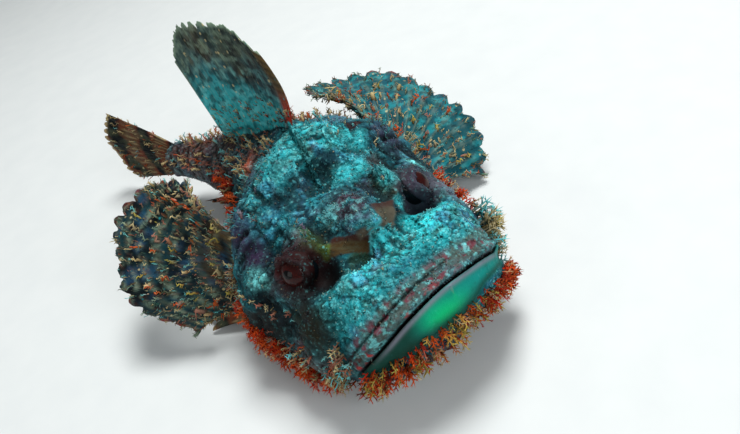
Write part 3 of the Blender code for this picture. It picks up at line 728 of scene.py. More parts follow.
def station_places():
    """Places along the body, close together where the form is finest."""
    probe = np.linspace(0, math.pi, 9)
    y = BODY_LENGTH * np.linspace(0, 1, 6000) ** 2
    points = plain_section(y[:, None], probe[None, :])
    steps = np.linalg.norm(np.diff(points, axis=0), axis=-1).max(axis=1)
    counts = np.concatenate([[0], np.cumsum(steps / curve_through(FINENESS)(y[1:]))])
    return np.interp(np.arange(int(counts[-1]) + 1), counts, y)


def side_angles():
    """Angles round the body that are about evenly spaced over its surface."""
    dense = np.linspace(0, 2 * math.pi, 4001)
    length = lengths_along(plain_section(np.full(dense.shape, 60.0), dense))
    return np.interp(np.arange(SIDES) * length[-1] / SIDES, length, dense)


class Skin:
    """The finished skin: a grid of points, normals, map places and colours."""

    def __init__(self):
        y, angle = np.meshgrid(station_places(), side_angles(), indexing="ij")
        plain = shaped(plain_section(y, angle))
        normals = grid_normals(plain)
        points = with_detail(plain, normals)
        points = with_nostrils(points, normals)
        points = with_mouth(points)
        self.points = on_floor(with_lids(points))
        self.normals = grid_normals(self.points)
        self.stations, self.sides = y.shape
        along = np.arange(self.stations) / (self.stations - 1)
        around = np.arange(self.sides) / self.sides
        v, u = np.meshgrid(along, around, indexing="ij")
        self.maps = np.stack([u, v], axis=-1).reshape(-1, 2)
        self.flat_points = self.points.reshape(-1, 3)
        self.flat_normals = self.normals.reshape(-1, 3)
        self.tree = KDTree(len(self.flat_points))
        for i, point in enumerate(self.flat_points):
            self.tree.insert(point, i)
        self.tree.balance()
        self.areas = self.cell_areas()
        self.relief = self.height_over_neighbours().reshape(-1)
        self.colours = painted(self.flat_points, self.relief)

    def height_over_neighbours(self):
        """How far each point stands over its surroundings, near 1 on a wart and -1 in a crevice."""
        total = 0
        for reach, scale, weight in ((2, 0.13, 0.75), (6, 0.45, 0.3), (14, 1.0, 0.2)):
            height = ((self.points - blurred(self.points, reach)) * self.normals).sum(axis=-1)
            total = total + weight * np.clip((height - np.median(height)) / scale, -1.2, 1.2)
        return total

    def cell_areas(self):
        """About how much skin each point stands for, with steps round the body held to 3 mm."""
        along = np.linalg.norm(np.gradient(self.points, axis=0), axis=-1)
        around = np.linalg.norm(np.gradient(self.points, axis=1), axis=-1)
        return (along * np.minimum(around, 3)).reshape(-1)

    def grain(self, points, end_colours):
        """How strongly the finest specks show: fully on light granular skin, little where it is dark."""
        light = lightness(np.concatenate([self.colours, end_colours]))
        return (1 - smooth_share(points)) * (0.12 + 0.88 * light)

    def near(self, guides):
        """Indexes of the skin's points that are nearest to the guide points."""
        return np.array([self.tree.find(guide)[1] for guide in guides])

    def scattered(self, count, density, rng):
        """Indexes of points spread over the skin by area and a density from 0 to 1."""
        weight = self.areas * density(self.flat_points)
        return rng.choice(len(weight), size=count, replace=False, p=weight / weight.sum())


# Colour

def linear(colour):
    """A screen colour, 0 to 255, as the linear numbers that shaders take."""
    share = np.array(colour, float) / 255
    return np.where(share <= 0.04045, share / 12.92, ((share + 0.055) / 1.055) ** 2.4)


def mixed(base, colour, share):
    """A linear colour with a screen colour laid over it by a share."""
    share = np.asarray(share)[..., None]
    return base * (1 - share) + linear(colour) * share


def layered(colour, layers):
    """A colour with screen colours laid over it one after another, each by its own share."""
    for tint, share in layers:
        colour = mixed(colour, tint, share)
    return colour


def plain_colour(tint, points):
    """The same colour for every point."""
    return np.broadcast_to(linear(tint), points.shape)


def lightness(colour):
    """0 for dark colours and 1 for light ones: how far mottling and specks show on them."""
    return np.clip(colour[..., 1] * 4, 0, 1)


def marked(points, warped):
    """Cloudy teal with the markings that both sides of the fish share."""
    colour = layered(plain_colour(DEEP_TEAL, points), (
        (TEAL, patches(points, 13, 70, 4, -0.3, 0.3)),
        (PLUM, 0.5 * patches(points, 8, 75, 3, 0.15, 0.5))))
    for centre, reach, tint, strength in MARKINGS.values():
        colour = mixed(colour, tint, strength * closeness(warped, centre, reach, 3.0))
    return colour


def mottled_with_painted_shading(colour, points, relief):
    """Mottling where the skin is granular, painted highlights on wart tops and painted shade in crevices, and
    the share of that painted shade.
    """
    rough = 1 - 0.88 * smooth_share(points)
    light = lightness(colour)
    for k, (tint, size, start, strength) in enumerate(MOTTLES):
        patch = patches(points, size, 80 + 5 * k, 3, start, start + 0.3)
        colour = mixed(colour, tint, strength * rough * light * patch)
    # Painted shade darkens the crevices and a painted highlight lightens the wart tops, by the skin's relief
    crevice = rough * smooth_step(0.0, -0.9, relief)
    high = rough * smooth_step(0.1, 0.9, relief)
    colour = mixed(colour, INK, 0.78 * crevice)
    colour = np.minimum(colour * (1 + 0.6 * high[..., None]), 0.8)
    return mixed(colour, PALE, 0.15 * high * light), crevice


def painted(points, relief):
    """The fish's markings on skin and coat: a linear colour for each point, with painted shade in its
    crevices and painted highlights on its wart tops.
    """
    ways = drift(points, 7, 60, 3)
    colour, crevice = mottled_with_painted_shading(marked(points, points + 2.2 * ways), points, relief)
    edge_ways = 1.3 * drift(points, 2.6, 66, 2)
    warped = points + 1.1 * ways + edge_ways
    for centre, reach, tint, strength in SEEN_MARKINGS.values():
        # The one-sided markings show less where painted shade lies in a crevice
        share = strength * (1 - 0.5 * crevice) * single_closeness(warped, centre, reach, 5.0)
        colour = mixed(colour, tint, share)
    colour = with_boss_specks(colour, points)
    colour = with_plates(colour, points + 0.9 * ways + 0.5 * edge_ways)
    return with_lip_colours(with_chin_colours(colour, points), points)


def with_boss_specks(colour, points):
    """Pale and dark specks, fine as salt and pepper, over the boss between the eyes."""
    near = single_closeness(points, BOSS_CROWN, (10, 12, 8), 4.0) * (1 - smooth_share(points))
    speck = soft_noise(points, 1.3, 101)
    return layered(colour, ((INK, 0.70 * near * smooth_step(0.05, 0.45, speck)),
                            (PALE, 0.38 * near * smooth_step(-0.15, -0.5, speck))))


def with_plates(colour, points):
    """The two plates: dark and olive streaks along them, and painted shade in dark red along their upper
    edges, under the boss.
    """
    for plate in PLATES.values():
        along, up, share = on_plate(points, plate, 1.12)
        streak = rough_noise(np.stack([0.8 * along, 2.6 * up, 0 * up], axis=-1), 1.0, 97, 3)
        tint = layered(plain_colour(plate[3], points), (
            (INK, 0.6 * smooth_step(0.05, 0.5, streak)),
            (OLIVE, 0.4 * smooth_step(-0.05, -0.5, streak)),
            # painted shade: dark red along the upper edge, where the boss overhangs the plate
            (DARK_RED_BROWN, 0.8 * smooth_step(0.1, 0.8, up))))
        colour = colour * (1 - share[..., None]) + tint * share[..., None]
    return colour


def with_chin_colours(colour, points):
    """A green chin with a brighter green heart, partly its own colour and partly a painted highlight; dark
    along its foot, in blotches and towards its right end.
    """
    chin = chin_share(points)
    across = across_fish(points)
    foot = smooth_step(-0.55, -0.95, over_slit(points) / chin_depth(across))
    return layered(colour, (
        (CHIN, 0.95 * chin),
        # partly a painted highlight: the bright green heart of the chin
        (GREEN, 0.9 * chin * single_closeness(points, CHIN_HEART, (8.5, 8, 4.5), 2.2)),
        (DARK_CHIN, 0.90 * chin * smooth_step(-9, -19, across)),
        (DARK_CHIN, 0.8 * chin * foot),
        (DARK_CHIN, 0.3 * chin * patches(points, 3.5, 99, 3, 0.0, 0.5))))


def with_lip_colours(colour, points):
    """Mauve lower lip, brown, red and pale specks over the upper lip, its dark fold and the slit."""
    height = over_slit(points)
    across = across_fish(points)
    front = at_mouth(points)
    over_lip = band(height, 4.5, 4.2, 4) * front
    speck = patches(points, 2.4, 90, 2, 0.05, 0.4)
    return layered(colour, (
        (MAUVE, 0.75 * band(height, -1.4, 0.75) * front * smooth_step(30, 20, np.abs(across))),
        (UMBER, 0.6 * over_lip),
        (WINE, 0.75 * speck * over_lip),
        (PALE, 0.55 * patches(points, 2.0, 93, 2, 0.1, 0.45) * over_lip),
        (RED, 0.7 * band(height, 1.5, 0.8) * front * smooth_step(4, -16, across) * speck),
        (INK, 0.85 * upper_fold(across, height, 0.55) * front),
        (SLIT_TONE, band(height, 0, 0.52, 4) * front)))


# Meshes

def metres(points):
    """Places in the frame, in metres, of points in millimetres from the snout."""
    return (np.asarray(points, float) + (0, SNOUT_Y, 0)) * MM


def new_object(name, data):
    """An object with this data, linked to the scene."""
    made = bpy.data.objects.new(name, data)
    bpy.context.scene.collection.objects.link(made)
    return made


def mesh_object(name, points, quads, triangles, finish):
    """A smooth object from arrays, riding on the part's one body."""
    mesh = bpy.data.meshes.new(name)
    quads = np.asarray(quads, np.int32).reshape(-1, 4)
    triangles = np.asarray(triangles, np.int32).reshape(-1, 3)
    mesh.vertices.add(len(points))
    mesh.vertices.foreach_set("co", metres(points).astype(np.float32).ravel())
    mesh.loops.add(quads.size + triangles.size)
    mesh.loops.foreach_set("vertex_index", np.concatenate([quads.ravel(), triangles.ravel()]))
    mesh.polygons.add(len(quads) + len(triangles))
    starts = np.concatenate([np.arange(len(quads)) * 4, quads.size + np.arange(len(triangles)) * 3])
    mesh.polygons.foreach_set("loop_start", starts.astype(np.int32))
    mesh.update(calc_edges=True)
    mesh.shade_smooth()
    mesh.materials.append(finish)
    made = new_object(name, mesh)
    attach(made, BODY)
    return made


def set_colours(thing, colours):
    """Store a linear colour for each point of the mesh."""
    layer = thing.data.attributes.new("marking", "FLOAT_COLOR", "POINT")
    full = np.concatenate([np.clip(colours, 0, 1), np.ones((len(colours), 1))], axis=1)
    layer.data.foreach_set("color", full.astype(np.float32).ravel())


def set_numbers(thing, values, name):
    """Store a number for each point of the mesh."""
    layer = thing.data.attributes.new(name, "FLOAT", "POINT")
    layer.data.foreach_set("value", np.asarray(values, np.float32).ravel())


def set_map(thing, places):
    """Store the unwrap that the skin and its coat share, one place per corner of each face."""
    layer = thing.data.uv_layers.new(name="OFBake")
    layer.uv.foreach_set("vector", np.asarray(places, np.float32).ravel())


def corner_points(thing):
    """The index of the point at each corner of each face."""
    corners = np.zeros(len(thing.data.loops), np.int32)
    thing.data.loops.foreach_get("vertex_index", corners)
    return corners


def closed_tube_faces(rings, sides):
    """Faces of a tube of rings whose two end points come last in its list of points."""
    i, j = np.meshgrid(np.arange(rings - 1), np.arange(sides), indexing="ij")
    k = (j + 1) % sides
    quads = np.stack([i * sides + j, (i + 1) * sides + j, (i + 1) * sides + k, i * sides + k], axis=-1)
    ring = np.arange(sides)
    turned = (ring + 1) % sides
    front = np.full(sides, rings * sides)
    last = (rings - 1) * sides
    caps = [np.stack([front, ring, turned], axis=-1),
            np.stack([front + 1, last + turned, last + ring], axis=-1)]
    return quads.reshape(-1, 4), np.concatenate(caps)


def make_skin(skin, finish):
    """The skin as one closed mesh, with its colours, its grain and the map that the coat shares."""
    quads, caps = closed_tube_faces(skin.stations, skin.sides)
    ends = np.array([skin.points[0].mean(axis=0), skin.points[-1].mean(axis=0)])
    points = np.concatenate([skin.flat_points, ends])
    thing = mesh_object("skin", points, quads, caps, finish)
    end_colours = skin.colours[[0, -1]]
    set_colours(thing, np.concatenate([skin.colours, end_colours]))
    set_numbers(thing, skin.grain(points, end_colours), "grain")
    maps = np.concatenate([skin.maps, [[0.5, 0], [0.5, 1]]])[corner_points(thing)]
    last_column = np.arange(len(quads)) % skin.sides == skin.sides - 1
    wrapped = np.zeros(quads.shape, bool)
    wrapped[:, 2:] = last_column[:, None]
    maps[:quads.size, 0] += wrapped.ravel()
    set_map(thing, maps)
    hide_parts("head", "lower_jaw", "gill_cover_left", "gill_cover_right", "torso", "tail")


# Materials

def new_material(name):
    """A node material, its tree and its Principled shader."""
    made = bpy.data.materials.new(name)
    made.use_nodes = True
    tree = made.node_tree
    return made, tree, tree.nodes["Principled BSDF"]


def feed(tree, socket, value):
    """Link a socket to another node's output, or set it to a plain value."""
    if isinstance(value, bpy.types.NodeSocket):
        tree.links.new(value, socket)
    else:
        socket.default_value = value


def add(tree, kind, **inputs):
    """A node with some of its sockets set or linked; spaces in socket names are written as _."""
    node = tree.nodes.new(kind)
    for name, value in inputs.items():
        feed(tree, node.inputs[name.replace("_", " ")], value)
    return node


def attribute(tree, name, output="Color"):
    """A colour or number that is stored on the mesh's points."""
    node = tree.nodes.new("ShaderNodeAttribute")
    node.attribute_name = name
    return node.outputs[output]


def place_in_fish(tree):
    """The shaded point's place in the model, in metres."""
    return tree.nodes.new("ShaderNodeTexCoord").outputs["Object"]


def noise(tree, place, scale, detail=3.0, roughness=0.5):
    """Fine noise from 0 to 1, with about this many waves to the metre."""
    node = add(tree, "ShaderNodeTexNoise", Vector=place, Scale=scale, Detail=detail, Roughness=roughness)
    return node.outputs["Fac"]


def ramp(tree, factor, start, end):
    """0 below the start, 1 above the end."""
    node = add(tree, "ShaderNodeMapRange", Value=factor, From_Min=start, From_Max=end)
    node.interpolation_type = "SMOOTHSTEP"
    return node.outputs["Result"]


def times(tree, a, b):
    """Two numbers multiplied."""
    node = tree.nodes.new("ShaderNodeMath")
    node.operation = "MULTIPLY"
    feed(tree, node.inputs[0], a)
    feed(tree, node.inputs[1], b)
    return node.outputs[0]


def blend_colour(tree, base, colour, share):
    """One colour over another by a share; each is a screen colour or another node's output."""
    node = tree.nodes.new("ShaderNodeMix")
    node.data_type = "RGBA"
    feed(tree, node.inputs[0], share)
    for socket, value in ((node.inputs[6], base), (node.inputs[7], colour)):
        feed(tree, socket, (*linear(value), 1) if isinstance(value, tuple) else value)
    return node.outputs[2]


def specks(tree, place, scale, share, shift):
    """Small scattered spots: a mask from cells of this scale, of which about this share are spots."""
    moved = add(tree, "ShaderNodeVectorMath", Vector=place)
    moved.operation = "ADD"
    moved.inputs[1].default_value = (shift, shift * 0.7, shift * 1.3)
    cells = add(tree, "ShaderNodeTexVoronoi", Vector=moved.outputs[0], Scale=scale)
    chosen = ramp(tree, cells.outputs["Color"], 1 - share - 0.03, 1 - share + 0.03)
    inside = ramp(tree, cells.outputs["Distance"], 0.55, 0.3)
    return times(tree, chosen, inside)


def with_specks(tree, colour, place, rows, mask=None):
    """Rows of specks over a colour, only where the mask is light if there is one."""
    for shift, scale, share, tint, strength in rows:
        spot = specks(tree, place, scale, share, shift)
        if mask:
            spot = times(tree, spot, mask)
        colour = blend_colour(tree, colour, tint, times(tree, spot, strength))
    return colour


def bump(tree, height, strength, distance, **under):
    """A normal from fine heights, over the normal under it if there is one."""
    node = add(tree, "ShaderNodeBump", Height=height, Strength=strength, Distance=distance, **under)
    return node.outputs["Normal"]


def finish_shader(tree, shader, colour, factor, smoothest, roughest):
    """Link a colour to a shader, and a roughness that a factor moves between two values."""
    tree.links.new(colour, shader.inputs["Base Color"])
    rough = add(tree, "ShaderNodeMapRange", Value=factor, To_Min=smoothest, To_Max=roughest)
    tree.links.new(rough.outputs["Result"], shader.inputs["Roughness"])


def skin_material(name):
    """Warty skin: the markings, broken by fine mottling and by white, dark, plum and red specks."""
    made, tree, shader = new_material(name)
    place = place_in_fish(tree)
    grain = attribute(tree, "grain", "Fac")
    mottle = noise(tree, place, 700.0, 4.0, 0.6)
    darker = times(tree, ramp(tree, mottle, 0.52, 0.75), grain)
    colour = blend_colour(tree, attribute(tree, "marking"), INK, darker)
    lighter = times(tree, ramp(tree, mottle, 0.46, 0.3), grain)
    colour = blend_colour(tree, colour, PALE, times(tree, lighter, 0.45))
    colour = with_specks(tree, colour, place, SKIN_SPECKS, grain)
    grains = add(tree, "ShaderNodeTexVoronoi", Vector=place, Scale=800.0)
    height = times(tree, ramp(tree, grains.outputs["Distance"], 0.7, 0.1), grain)
    coarse = bump(tree, height, 0.75, 0.0009)
    normal = bump(tree, noise(tree, place, 1900.0), 0.35, 0.0004, Normal=coarse)
    tree.links.new(normal, shader.inputs["Normal"])
    finish_shader(tree, shader, colour, mottle, 0.48, 0.76)
    shader.inputs["Specular IOR Level"].default_value = 0.06
    return made


def coat_material(name):
    """Soft tassels: their own colours with a fine grain and lighter flecks."""
    made, tree, shader = new_material(name)
    place = place_in_fish(tree)
    grain = noise(tree, place, 1500.0)
    darker = times(tree, ramp(tree, grain, 0.55, 0.75), 0.55)
    colour = blend_colour(tree, attribute(tree, "marking"), INK, darker)
    colour = with_specks(tree, colour, place, COAT_SPECKS)
    tree.links.new(bump(tree, grain, 0.4, 0.0004), shader.inputs["Normal"])
    finish_shader(tree, shader, colour, grain, 0.5, 0.75)
    shader.inputs["Specular IOR Level"].default_value = 0.08
    return made


def fin_material(name):
    """Fin skin: markings with dark and cream dashes, finer and smoother than the body's skin."""
    made, tree, shader = new_material(name)
    place = place_in_fish(tree)
    mottle = noise(tree, place, 620.0, 4.0, 0.6)
    darker = times(tree, ramp(tree, mottle, 0.52, 0.72), 0.7)
    colour = blend_colour(tree, attribute(tree, "marking"), INK, darker)
    colour = with_specks(tree, colour, place, FIN_SPECKS)
    tree.links.new(bump(tree, noise(tree, place, 1500.0), 0.5, 0.0005), shader.inputs["Normal"])
    finish_shader(tree, shader, colour, mottle, 0.42, 0.72)
    shader.inputs["Specular IOR Level"].default_value = 0.08
    return made


def eye_material(name):
    """A dark red iris with fine rays and flecks, a black pupil and a wet surface."""
    made, tree, shader = new_material(name)
    place = place_in_fish(tree)
    flecks = noise(tree, place, 1500.0, 4.0)
    darker = times(tree, ramp(tree, flecks, 0.5, 0.7), 0.6)
    colour = blend_colour(tree, attribute(tree, "marking"), INK, darker)
    colour = with_specks(tree, colour, place, EYE_SPECKS, attribute(tree, "iris", "Fac"))
    finish_shader(tree, shader, colour, flecks, 0.3, 0.5)
    shader.inputs["Specular IOR Level"].default_value = 0.05
    shader.inputs["Coat Weight"].default_value = 0.25
    shader.inputs["Coat Roughness"].default_value = 0.02
    return made


# Eyes

# The eyeball's rings and sides, its radius under the cornea, and the cornea's rise and spread
EYE_RINGS = 72
EYE_SIDES = 96
BALL_SHARE = 0.955
CORNEA_RISE = 0.045
CORNEA_SPREAD = 0.42

# Half angles of the pupil and of the iris, seen from the eye's middle
PUPIL_ANGLE = 13
IRIS_ANGLE = 46


def make_eyes(finish):
    """Eyeballs with a slightly raised cornea, an iris and a pupil that is wider than high."""
    turn = math.pi * (np.arange(1, EYE_RINGS + 1) / (EYE_RINGS + 1)) ** 1.35
    round_it = 2 * math.pi * np.arange(EYE_SIDES) / EYE_SIDES
    turn, round_it = np.meshgrid(turn, round_it, indexing="ij")
    radius = EYE_RADIUS * (BALL_SHARE + CORNEA_RISE * band(turn, 0, CORNEA_SPREAD))
    for name, side in (("eye_right", -1), ("eye_left", 1)):
        way = unit(mirrored(EYE_WAY, side))
        across = unit(np.cross(way, np.array([0, 0, 1.0])))
        up = np.cross(across, way)
        spoke = (np.cos(turn)[..., None] * way + (np.sin(turn) * np.cos(round_it))[..., None] * across
                 + (np.sin(turn) * np.sin(round_it))[..., None] * up)
        centre = beside(EYE_CENTRE, side)
        ball = centre + spoke * radius[..., None]
        tips = np.array([centre + way * EYE_RADIUS, centre - way * EYE_RADIUS * BALL_SHARE])
        points = np.concatenate([ball.reshape(-1, 3), tips])
        thing = mesh_object(name + "_ball", points, *closed_tube_faces(EYE_RINGS, EYE_SIDES), finish)
        paint_eye(thing, turn, round_it)
        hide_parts(name)


def paint_eye(thing, turn, round_it):
    """Pupil, a thin dull ring, rayed iris and dark rim, by the angle from the eye's axis."""
    degrees = np.degrees(turn)
    edge = PUPIL_ANGLE * (1 + 0.28 * np.cos(round_it) ** 2)
    pupil = smooth_step(edge + 1, edge - 1, degrees)
    rays = 0.5 + 0.5 * np.sin(31 * round_it + 3 * np.sin(5 * round_it)) * np.sin(0.3 * degrees)
    colour = layered(np.broadcast_to(linear(IRIS), (*degrees.shape, 3)), (
        (MAROON, 0.5 * rays),
        (BLACK, 0.6 * (1 - rays)),
        (MAROON, 0.5 * band(degrees - edge, 2, 1.4)),
        (INK, smooth_step(40, 54, degrees)),
        (PUPIL, pupil)))
    iris = (1 - pupil) * smooth_step(IRIS_ANGLE, IRIS_ANGLE - 8, degrees)
    ends = np.array([linear(PUPIL)] * 2)
    set_colours(thing, np.concatenate([colour.reshape(-1, 3), ends]))
    set_numbers(thing, np.concatenate([iris.ravel(), [0, 0]]), "iris")


# Tassels

# A twig's sides are set across this way
TWIG_AXIS = np.array([0.1, 1.0, 0.05])
FROND_FLATNESS = 0.7

# Tufts stay this far over the floor, and each takes its colour in the bake from a patch of this size
FLOOR_GAP = 0.1
MAP_PATCH = 0.0015


def twig(path, radii, sides, flatness):
    """Points and triangles of one tapered twig, closed at both ends."""
    path = np.array(path, float)
    run = unit(np.gradient(path, axis=0))
    side = unit(np.cross(run, TWIG_AXIS))
    other = np.cross(side, run)
    turn = 2 * math.pi * np.arange(sides) / sides
    ring = np.cos(turn)[:, None] * side[:, None] + flatness * np.sin(turn)[:, None] * other[:, None]
    rings = path[:-1, None] + ring[:-1] * np.array(radii)[:-1, None, None]
    points = np.concatenate([rings.reshape(-1, 3), path[-1:]])
    last = (len(path) - 2) * sides
    faces = []
    for start in range(0, last, sides):
        for j in range(sides):
            a, b = start + j, start + (j + 1) % sides
            faces += [(a, b, b + sides), (a, b + sides, a + sides)]
    faces += [(last + j, last + (j + 1) % sides, last + sides) for j in range(sides)]
    faces += [(0, k + 1, k) for k in range(1, sides - 1)]
    return points, np.array(faces)


def shoot(start, end, width, middle_width, flatness):
    """A straight three-sided twig between two points."""
    return twig([start, (start + end) / 2, end], [width, middle_width, 0], 3, flatness)


def on_stem(stem, height):
    """The point of a stem at this height."""
    return np.array([np.interp(height, stem[:, 2], stem[:, k]) for k in range(3)])


def joined(pieces):
    """One set of points and triangles from many."""
    points, faces, shift = [], [], 0
    for piece_points, piece_faces in pieces:
        points.append(piece_points)
        faces.append(piece_faces + shift)
        shift += len(piece_points)
    return np.concatenate(points), np.concatenate(faces)


def frond(rng, forks, spread, thickness):
    """A branching tassel one unit tall, rooted at the origin and growing along z."""
    lean = rng.uniform(-0.12, 0.12, 2)
    stem = np.array([[0, 0, 0], [lean[0] * 0.3, lean[1] * 0.3, 0.33], [lean[0], lean[1], 0.68],
                     [lean[0] * 1.6, lean[1] * 1.6, 1.0]])
    pieces = [twig(stem, np.array([1.0, 0.75, 0.5, 0]) * thickness, 3, FROND_FLATNESS)]
    for k in range(forks):
        share = 0.18 + 0.66 * (k + rng.uniform(0, 0.6)) / forks
        side = 1 if k % 2 else -1
        way = unit(np.array([side * spread, rng.uniform(-0.5, 0.5), rng.uniform(0.35, 0.8)]))
        length = (0.62 - 0.4 * share) * rng.uniform(0.75, 1.2)
        start = on_stem(stem, share)
        middle = start + way * length * 0.5
        end = middle + unit(way + (0, 0, 0.5)) * length * 0.5
        width = thickness * (0.75 - 0.35 * share)
        pieces.append(twig([start, middle, end], [width, width * 0.7, 0], 3, FROND_FLATNESS))
        for sign in (-1, 1):
            bud = unit(way + sign * np.array([0.2, 0.7, 0.3]) * rng.uniform(0.7, 1.3))
            pieces.append(shoot(middle, middle + bud * length * 0.38, width * 0.6, width * 0.5,
                                FROND_FLATNESS))
    return joined(pieces)


def ragged_flap(rng, fringes):
    """A narrow ragged flap one unit tall, with short twigs along its edges."""
    lean = rng.uniform(-0.2, 0.2, 2)
    stem = np.array([[0, 0, 0], [lean[0] * 0.3, 0.02, 0.3], [lean[0], 0.06 + lean[1], 0.65], [0, 0.12, 1.0]])
    pieces = [twig(stem, [0.08, 0.13, 0.09, 0], 4, 0.4)]
    for k in range(fringes):
        start = on_stem(stem, 0.2 + 0.72 * k / fringes)
        side = 1 if k % 2 else -1
        way = unit(np.array([side * 0.9, rng.uniform(-0.5, 0.5), rng.uniform(0.3, 1.0)]))
        pieces.append(shoot(start, start + way * rng.uniform(0.22, 0.42), 0.055, 0.04, 0.6))
    return joined(pieces)


def curl(rng):
    """A thin wavy thread of skin one unit tall, forked near its tip."""
    share = np.linspace(0, 1, 7)
    swing = rng.uniform(0.08, 0.16) * np.minimum(share * 4, 1)
    wave = swing * np.sin(share * rng.uniform(7, 11) + rng.uniform(0, 6))
    stem = np.stack([wave, rng.uniform(-0.1, 0.1) * share, share], axis=-1)
    pieces = [twig(stem, 0.07 * np.array([1.0, 1.1, 1.0, 0.9, 0.75, 0.5, 0]), 3, 0.7)]
    for start in stem[2:6]:
        way = unit(np.array([rng.choice([-1, 1]) * 0.8, rng.uniform(-0.5, 0.5), rng.uniform(0.2, 0.9)]))
        end = start + way * rng.uniform(0.16, 0.34)
        pieces.append(twig([start, (start + end) / 2 + (0, 0.02, 0.02), end], [0.05, 0.04, 0], 3, 0.7))
    return joined(pieces)


def papilla(rng):
    """A small soft cone, a little bent."""
    lean = rng.uniform(-0.25, 0.25, 2)
    path = [[0, 0, 0], [lean[0] * 0.4, lean[1] * 0.4, 0.55], [lean[0], lean[1], 1.0]]
    return twig(path, [0.34, 0.22, 0], 4, 0.9)


def wart_tuft(rng):
    """A low cluster of four cones."""
    pieces = []
    for k in range(4):
        turn = 1.6 * k + rng.uniform(-0.4, 0.4)
        foot = 0.22 * np.array([math.cos(turn), math.sin(turn), 0])
        pieces.append(shoot(foot, foot * 2.6 + (0, 0, rng.uniform(0.6, 1.0)), 0.17, 0.12, 1.0))
    return joined(pieces)


class Planting:
    """Collects tufts for one piece of the coat: where they root, which way they grow, size and colours."""

    def __init__(self, name, kinds, rng):
        self.name = name
        self.kinds = kinds
        self.rng = rng
        self.rows = []

    def put(self, *columns):
        """Add tufts: roots, ways, lengths, map places, root colours, tip colours, widths and droops."""
        self.rows.append(columns)

    def build(self, finish):
        """Make one mesh of all the tufts, each of a kind that is picked at random."""
        columns = [np.concatenate(column) for column in zip(*self.rows)]
        kind_of = self.rng.integers(0, len(self.kinds), len(columns[0]))
        groups = []
        shift = 0
        for kind, (shape, faces) in enumerate(self.kinds):
            chosen = [column[kind_of == kind] for column in columns]
            points, colours, maps = self.grown(shape, *chosen)
            steps = shift + len(shape) * np.arange(len(points))[:, None, None]
            groups.append((points, faces + steps, colours, maps))
            shift += len(shape) * len(points)
        points, faces, colours, maps = (
            np.concatenate([part.reshape(-1, part.shape[-1]) for part in parts]) for parts in zip(*groups))
        thing = mesh_object(self.name, points, [], faces, finish)
        set_colours(thing, colours)
        set_map(thing, maps[corner_points(thing)])

    def grown(self, shape, roots, ways, lengths, places, root_colours, tip_colours, widths, droops):
        """Points, colours and map places of tufts of one shape, turned along their ways and bent."""
        way = unit(ways)
        side = unit(np.cross(way, unit(self.rng.normal(size=way.shape))))
        flat = np.cross(way, side)
        x, y, z = shape.T
        bend = droops[:, None] * z ** 2
        local = (side[:, None] * (x * widths[:, None])[..., None]
                 + flat[:, None] * (y * widths[:, None] + bend)[..., None]
                 + way[:, None] * z[:, None])
        points = roots[:, None] + local * lengths[:, None, None]
        points[..., 2] = np.maximum(points[..., 2], FLOOR_GAP)
        share = np.clip(z, 0, 1)[:, None]
        tone = self.rng.uniform(0.75, 1.2, (len(roots), 1, 1))
        colours = (root_colours[:, None] * (1 - share) + tip_colours[:, None] * share) * tone
        patch = MAP_PATCH * np.stack([np.clip(2 * x, -1, 1), z * 2 - 1], axis=-1)
        return points, colours, places[:, None] + patch


def tinted(rng, count, choices):
    """Colours picked at random from (colour, share) pairs."""
    shares = np.array([share for _, share in choices], float)
    table = np.array([linear(colour) for colour, _ in choices])
    return table[rng.choice(len(table), size=count, p=shares / shares.sum())]


def tuft_colours(rng, count, palette):
    """Root and tip colours of a number of tufts."""
    return [tinted(rng, count, choices) for choices in PALETTES[palette]]


def along_line(line, count, scatter, side, rng):
    """Guide points spread along a broken line on one side of the fish."""
    line = mirrored(line, side)
    places = (np.arange(count) + rng.uniform(0.1, 0.9, count)) / count * lengths_along(line)[-1]
    points = points_along(line, places)
    points += rng.normal(scale=scatter, size=points.shape)
    points[:, 0] += sideways(points[:, 1])
    return points


DULL = [(RUST, 3), (BROWN, 3), (UMBER, 2), (MAROON, 2), (OLIVE, 2)]
DULL_TIPS = [(CREAM, 5), (ROSE, 3), (ORANGE, 1), (PALE, 2)]
DARK_RED = [(MAROON, 4), (RUST, 3), (RED, 1)]
WARM_TIPS = [(ORANGE, 6), (RED, 5), (CREAM, 1), (ROSE, 1)]
SKIN_TIPS = [(SEA, 4), (PALE, 2), (MAUVE, 2), (CREAM, 1)]
PAPILLA_TIPS = [(PALE, 5), (CREAM, 2), (PLUM, 2), (ROSE, 1)]

# Colours of tufts at the root and at the tip, each with how often it is picked
PALETTES = {
    "warm": ([(RED, 6), (ORANGE, 4), (RUST, 3), (MAROON, 1)], WARM_TIPS),
    "straw beard": ([(RED, 3), (ORANGE, 3), (RUST, 4), (BROWN, 2)],
                    [(CREAM, 4), (ORANGE, 3), (STRAW, 4), (ROSE, 1)]),
    "red beard": ([(RED, 4), (RUST, 4), (MAROON, 3), (ORANGE, 1)],
                  [(ORANGE, 6), (RED, 3), (CREAM, 2), (STRAW, 2), (RUST, 2)]),
    "pale corner": ([(UMBER, 3), (TEAL, 2), (BROWN, 2)], [(CREAM, 4), (PALE, 4), (STRAW, 1)]),
    "dull": (DULL, DULL_TIPS),
    "dull and teal": (DULL, SKIN_TIPS),
    "dark red": (DARK_RED, DULL_TIPS),
    "red": (DARK_RED, WARM_TIPS),
    "skin": ([(DEEP_TEAL, 4), (TEAL, 3), (PLUM, 2), (MOSS, 1)], SKIN_TIPS),
    "fin flap": ([(UMBER, 5), (OLIVE, 4), (ROSE, 2), (BROWN, 3), (GREY_GREEN, 5)],
                 [(CREAM, 4), (PALE_OLIVE, 6), (OLIVE, 5), (ROSE, 2), (PALE, 2), (ORANGE, 1)]),
    "clump": ([(BROWN, 4), (UMBER, 3), (RUST, 2)], [(CREAM, 6), (ORANGE, 3), (STRAW, 3), (ROSE, 2)]),
}

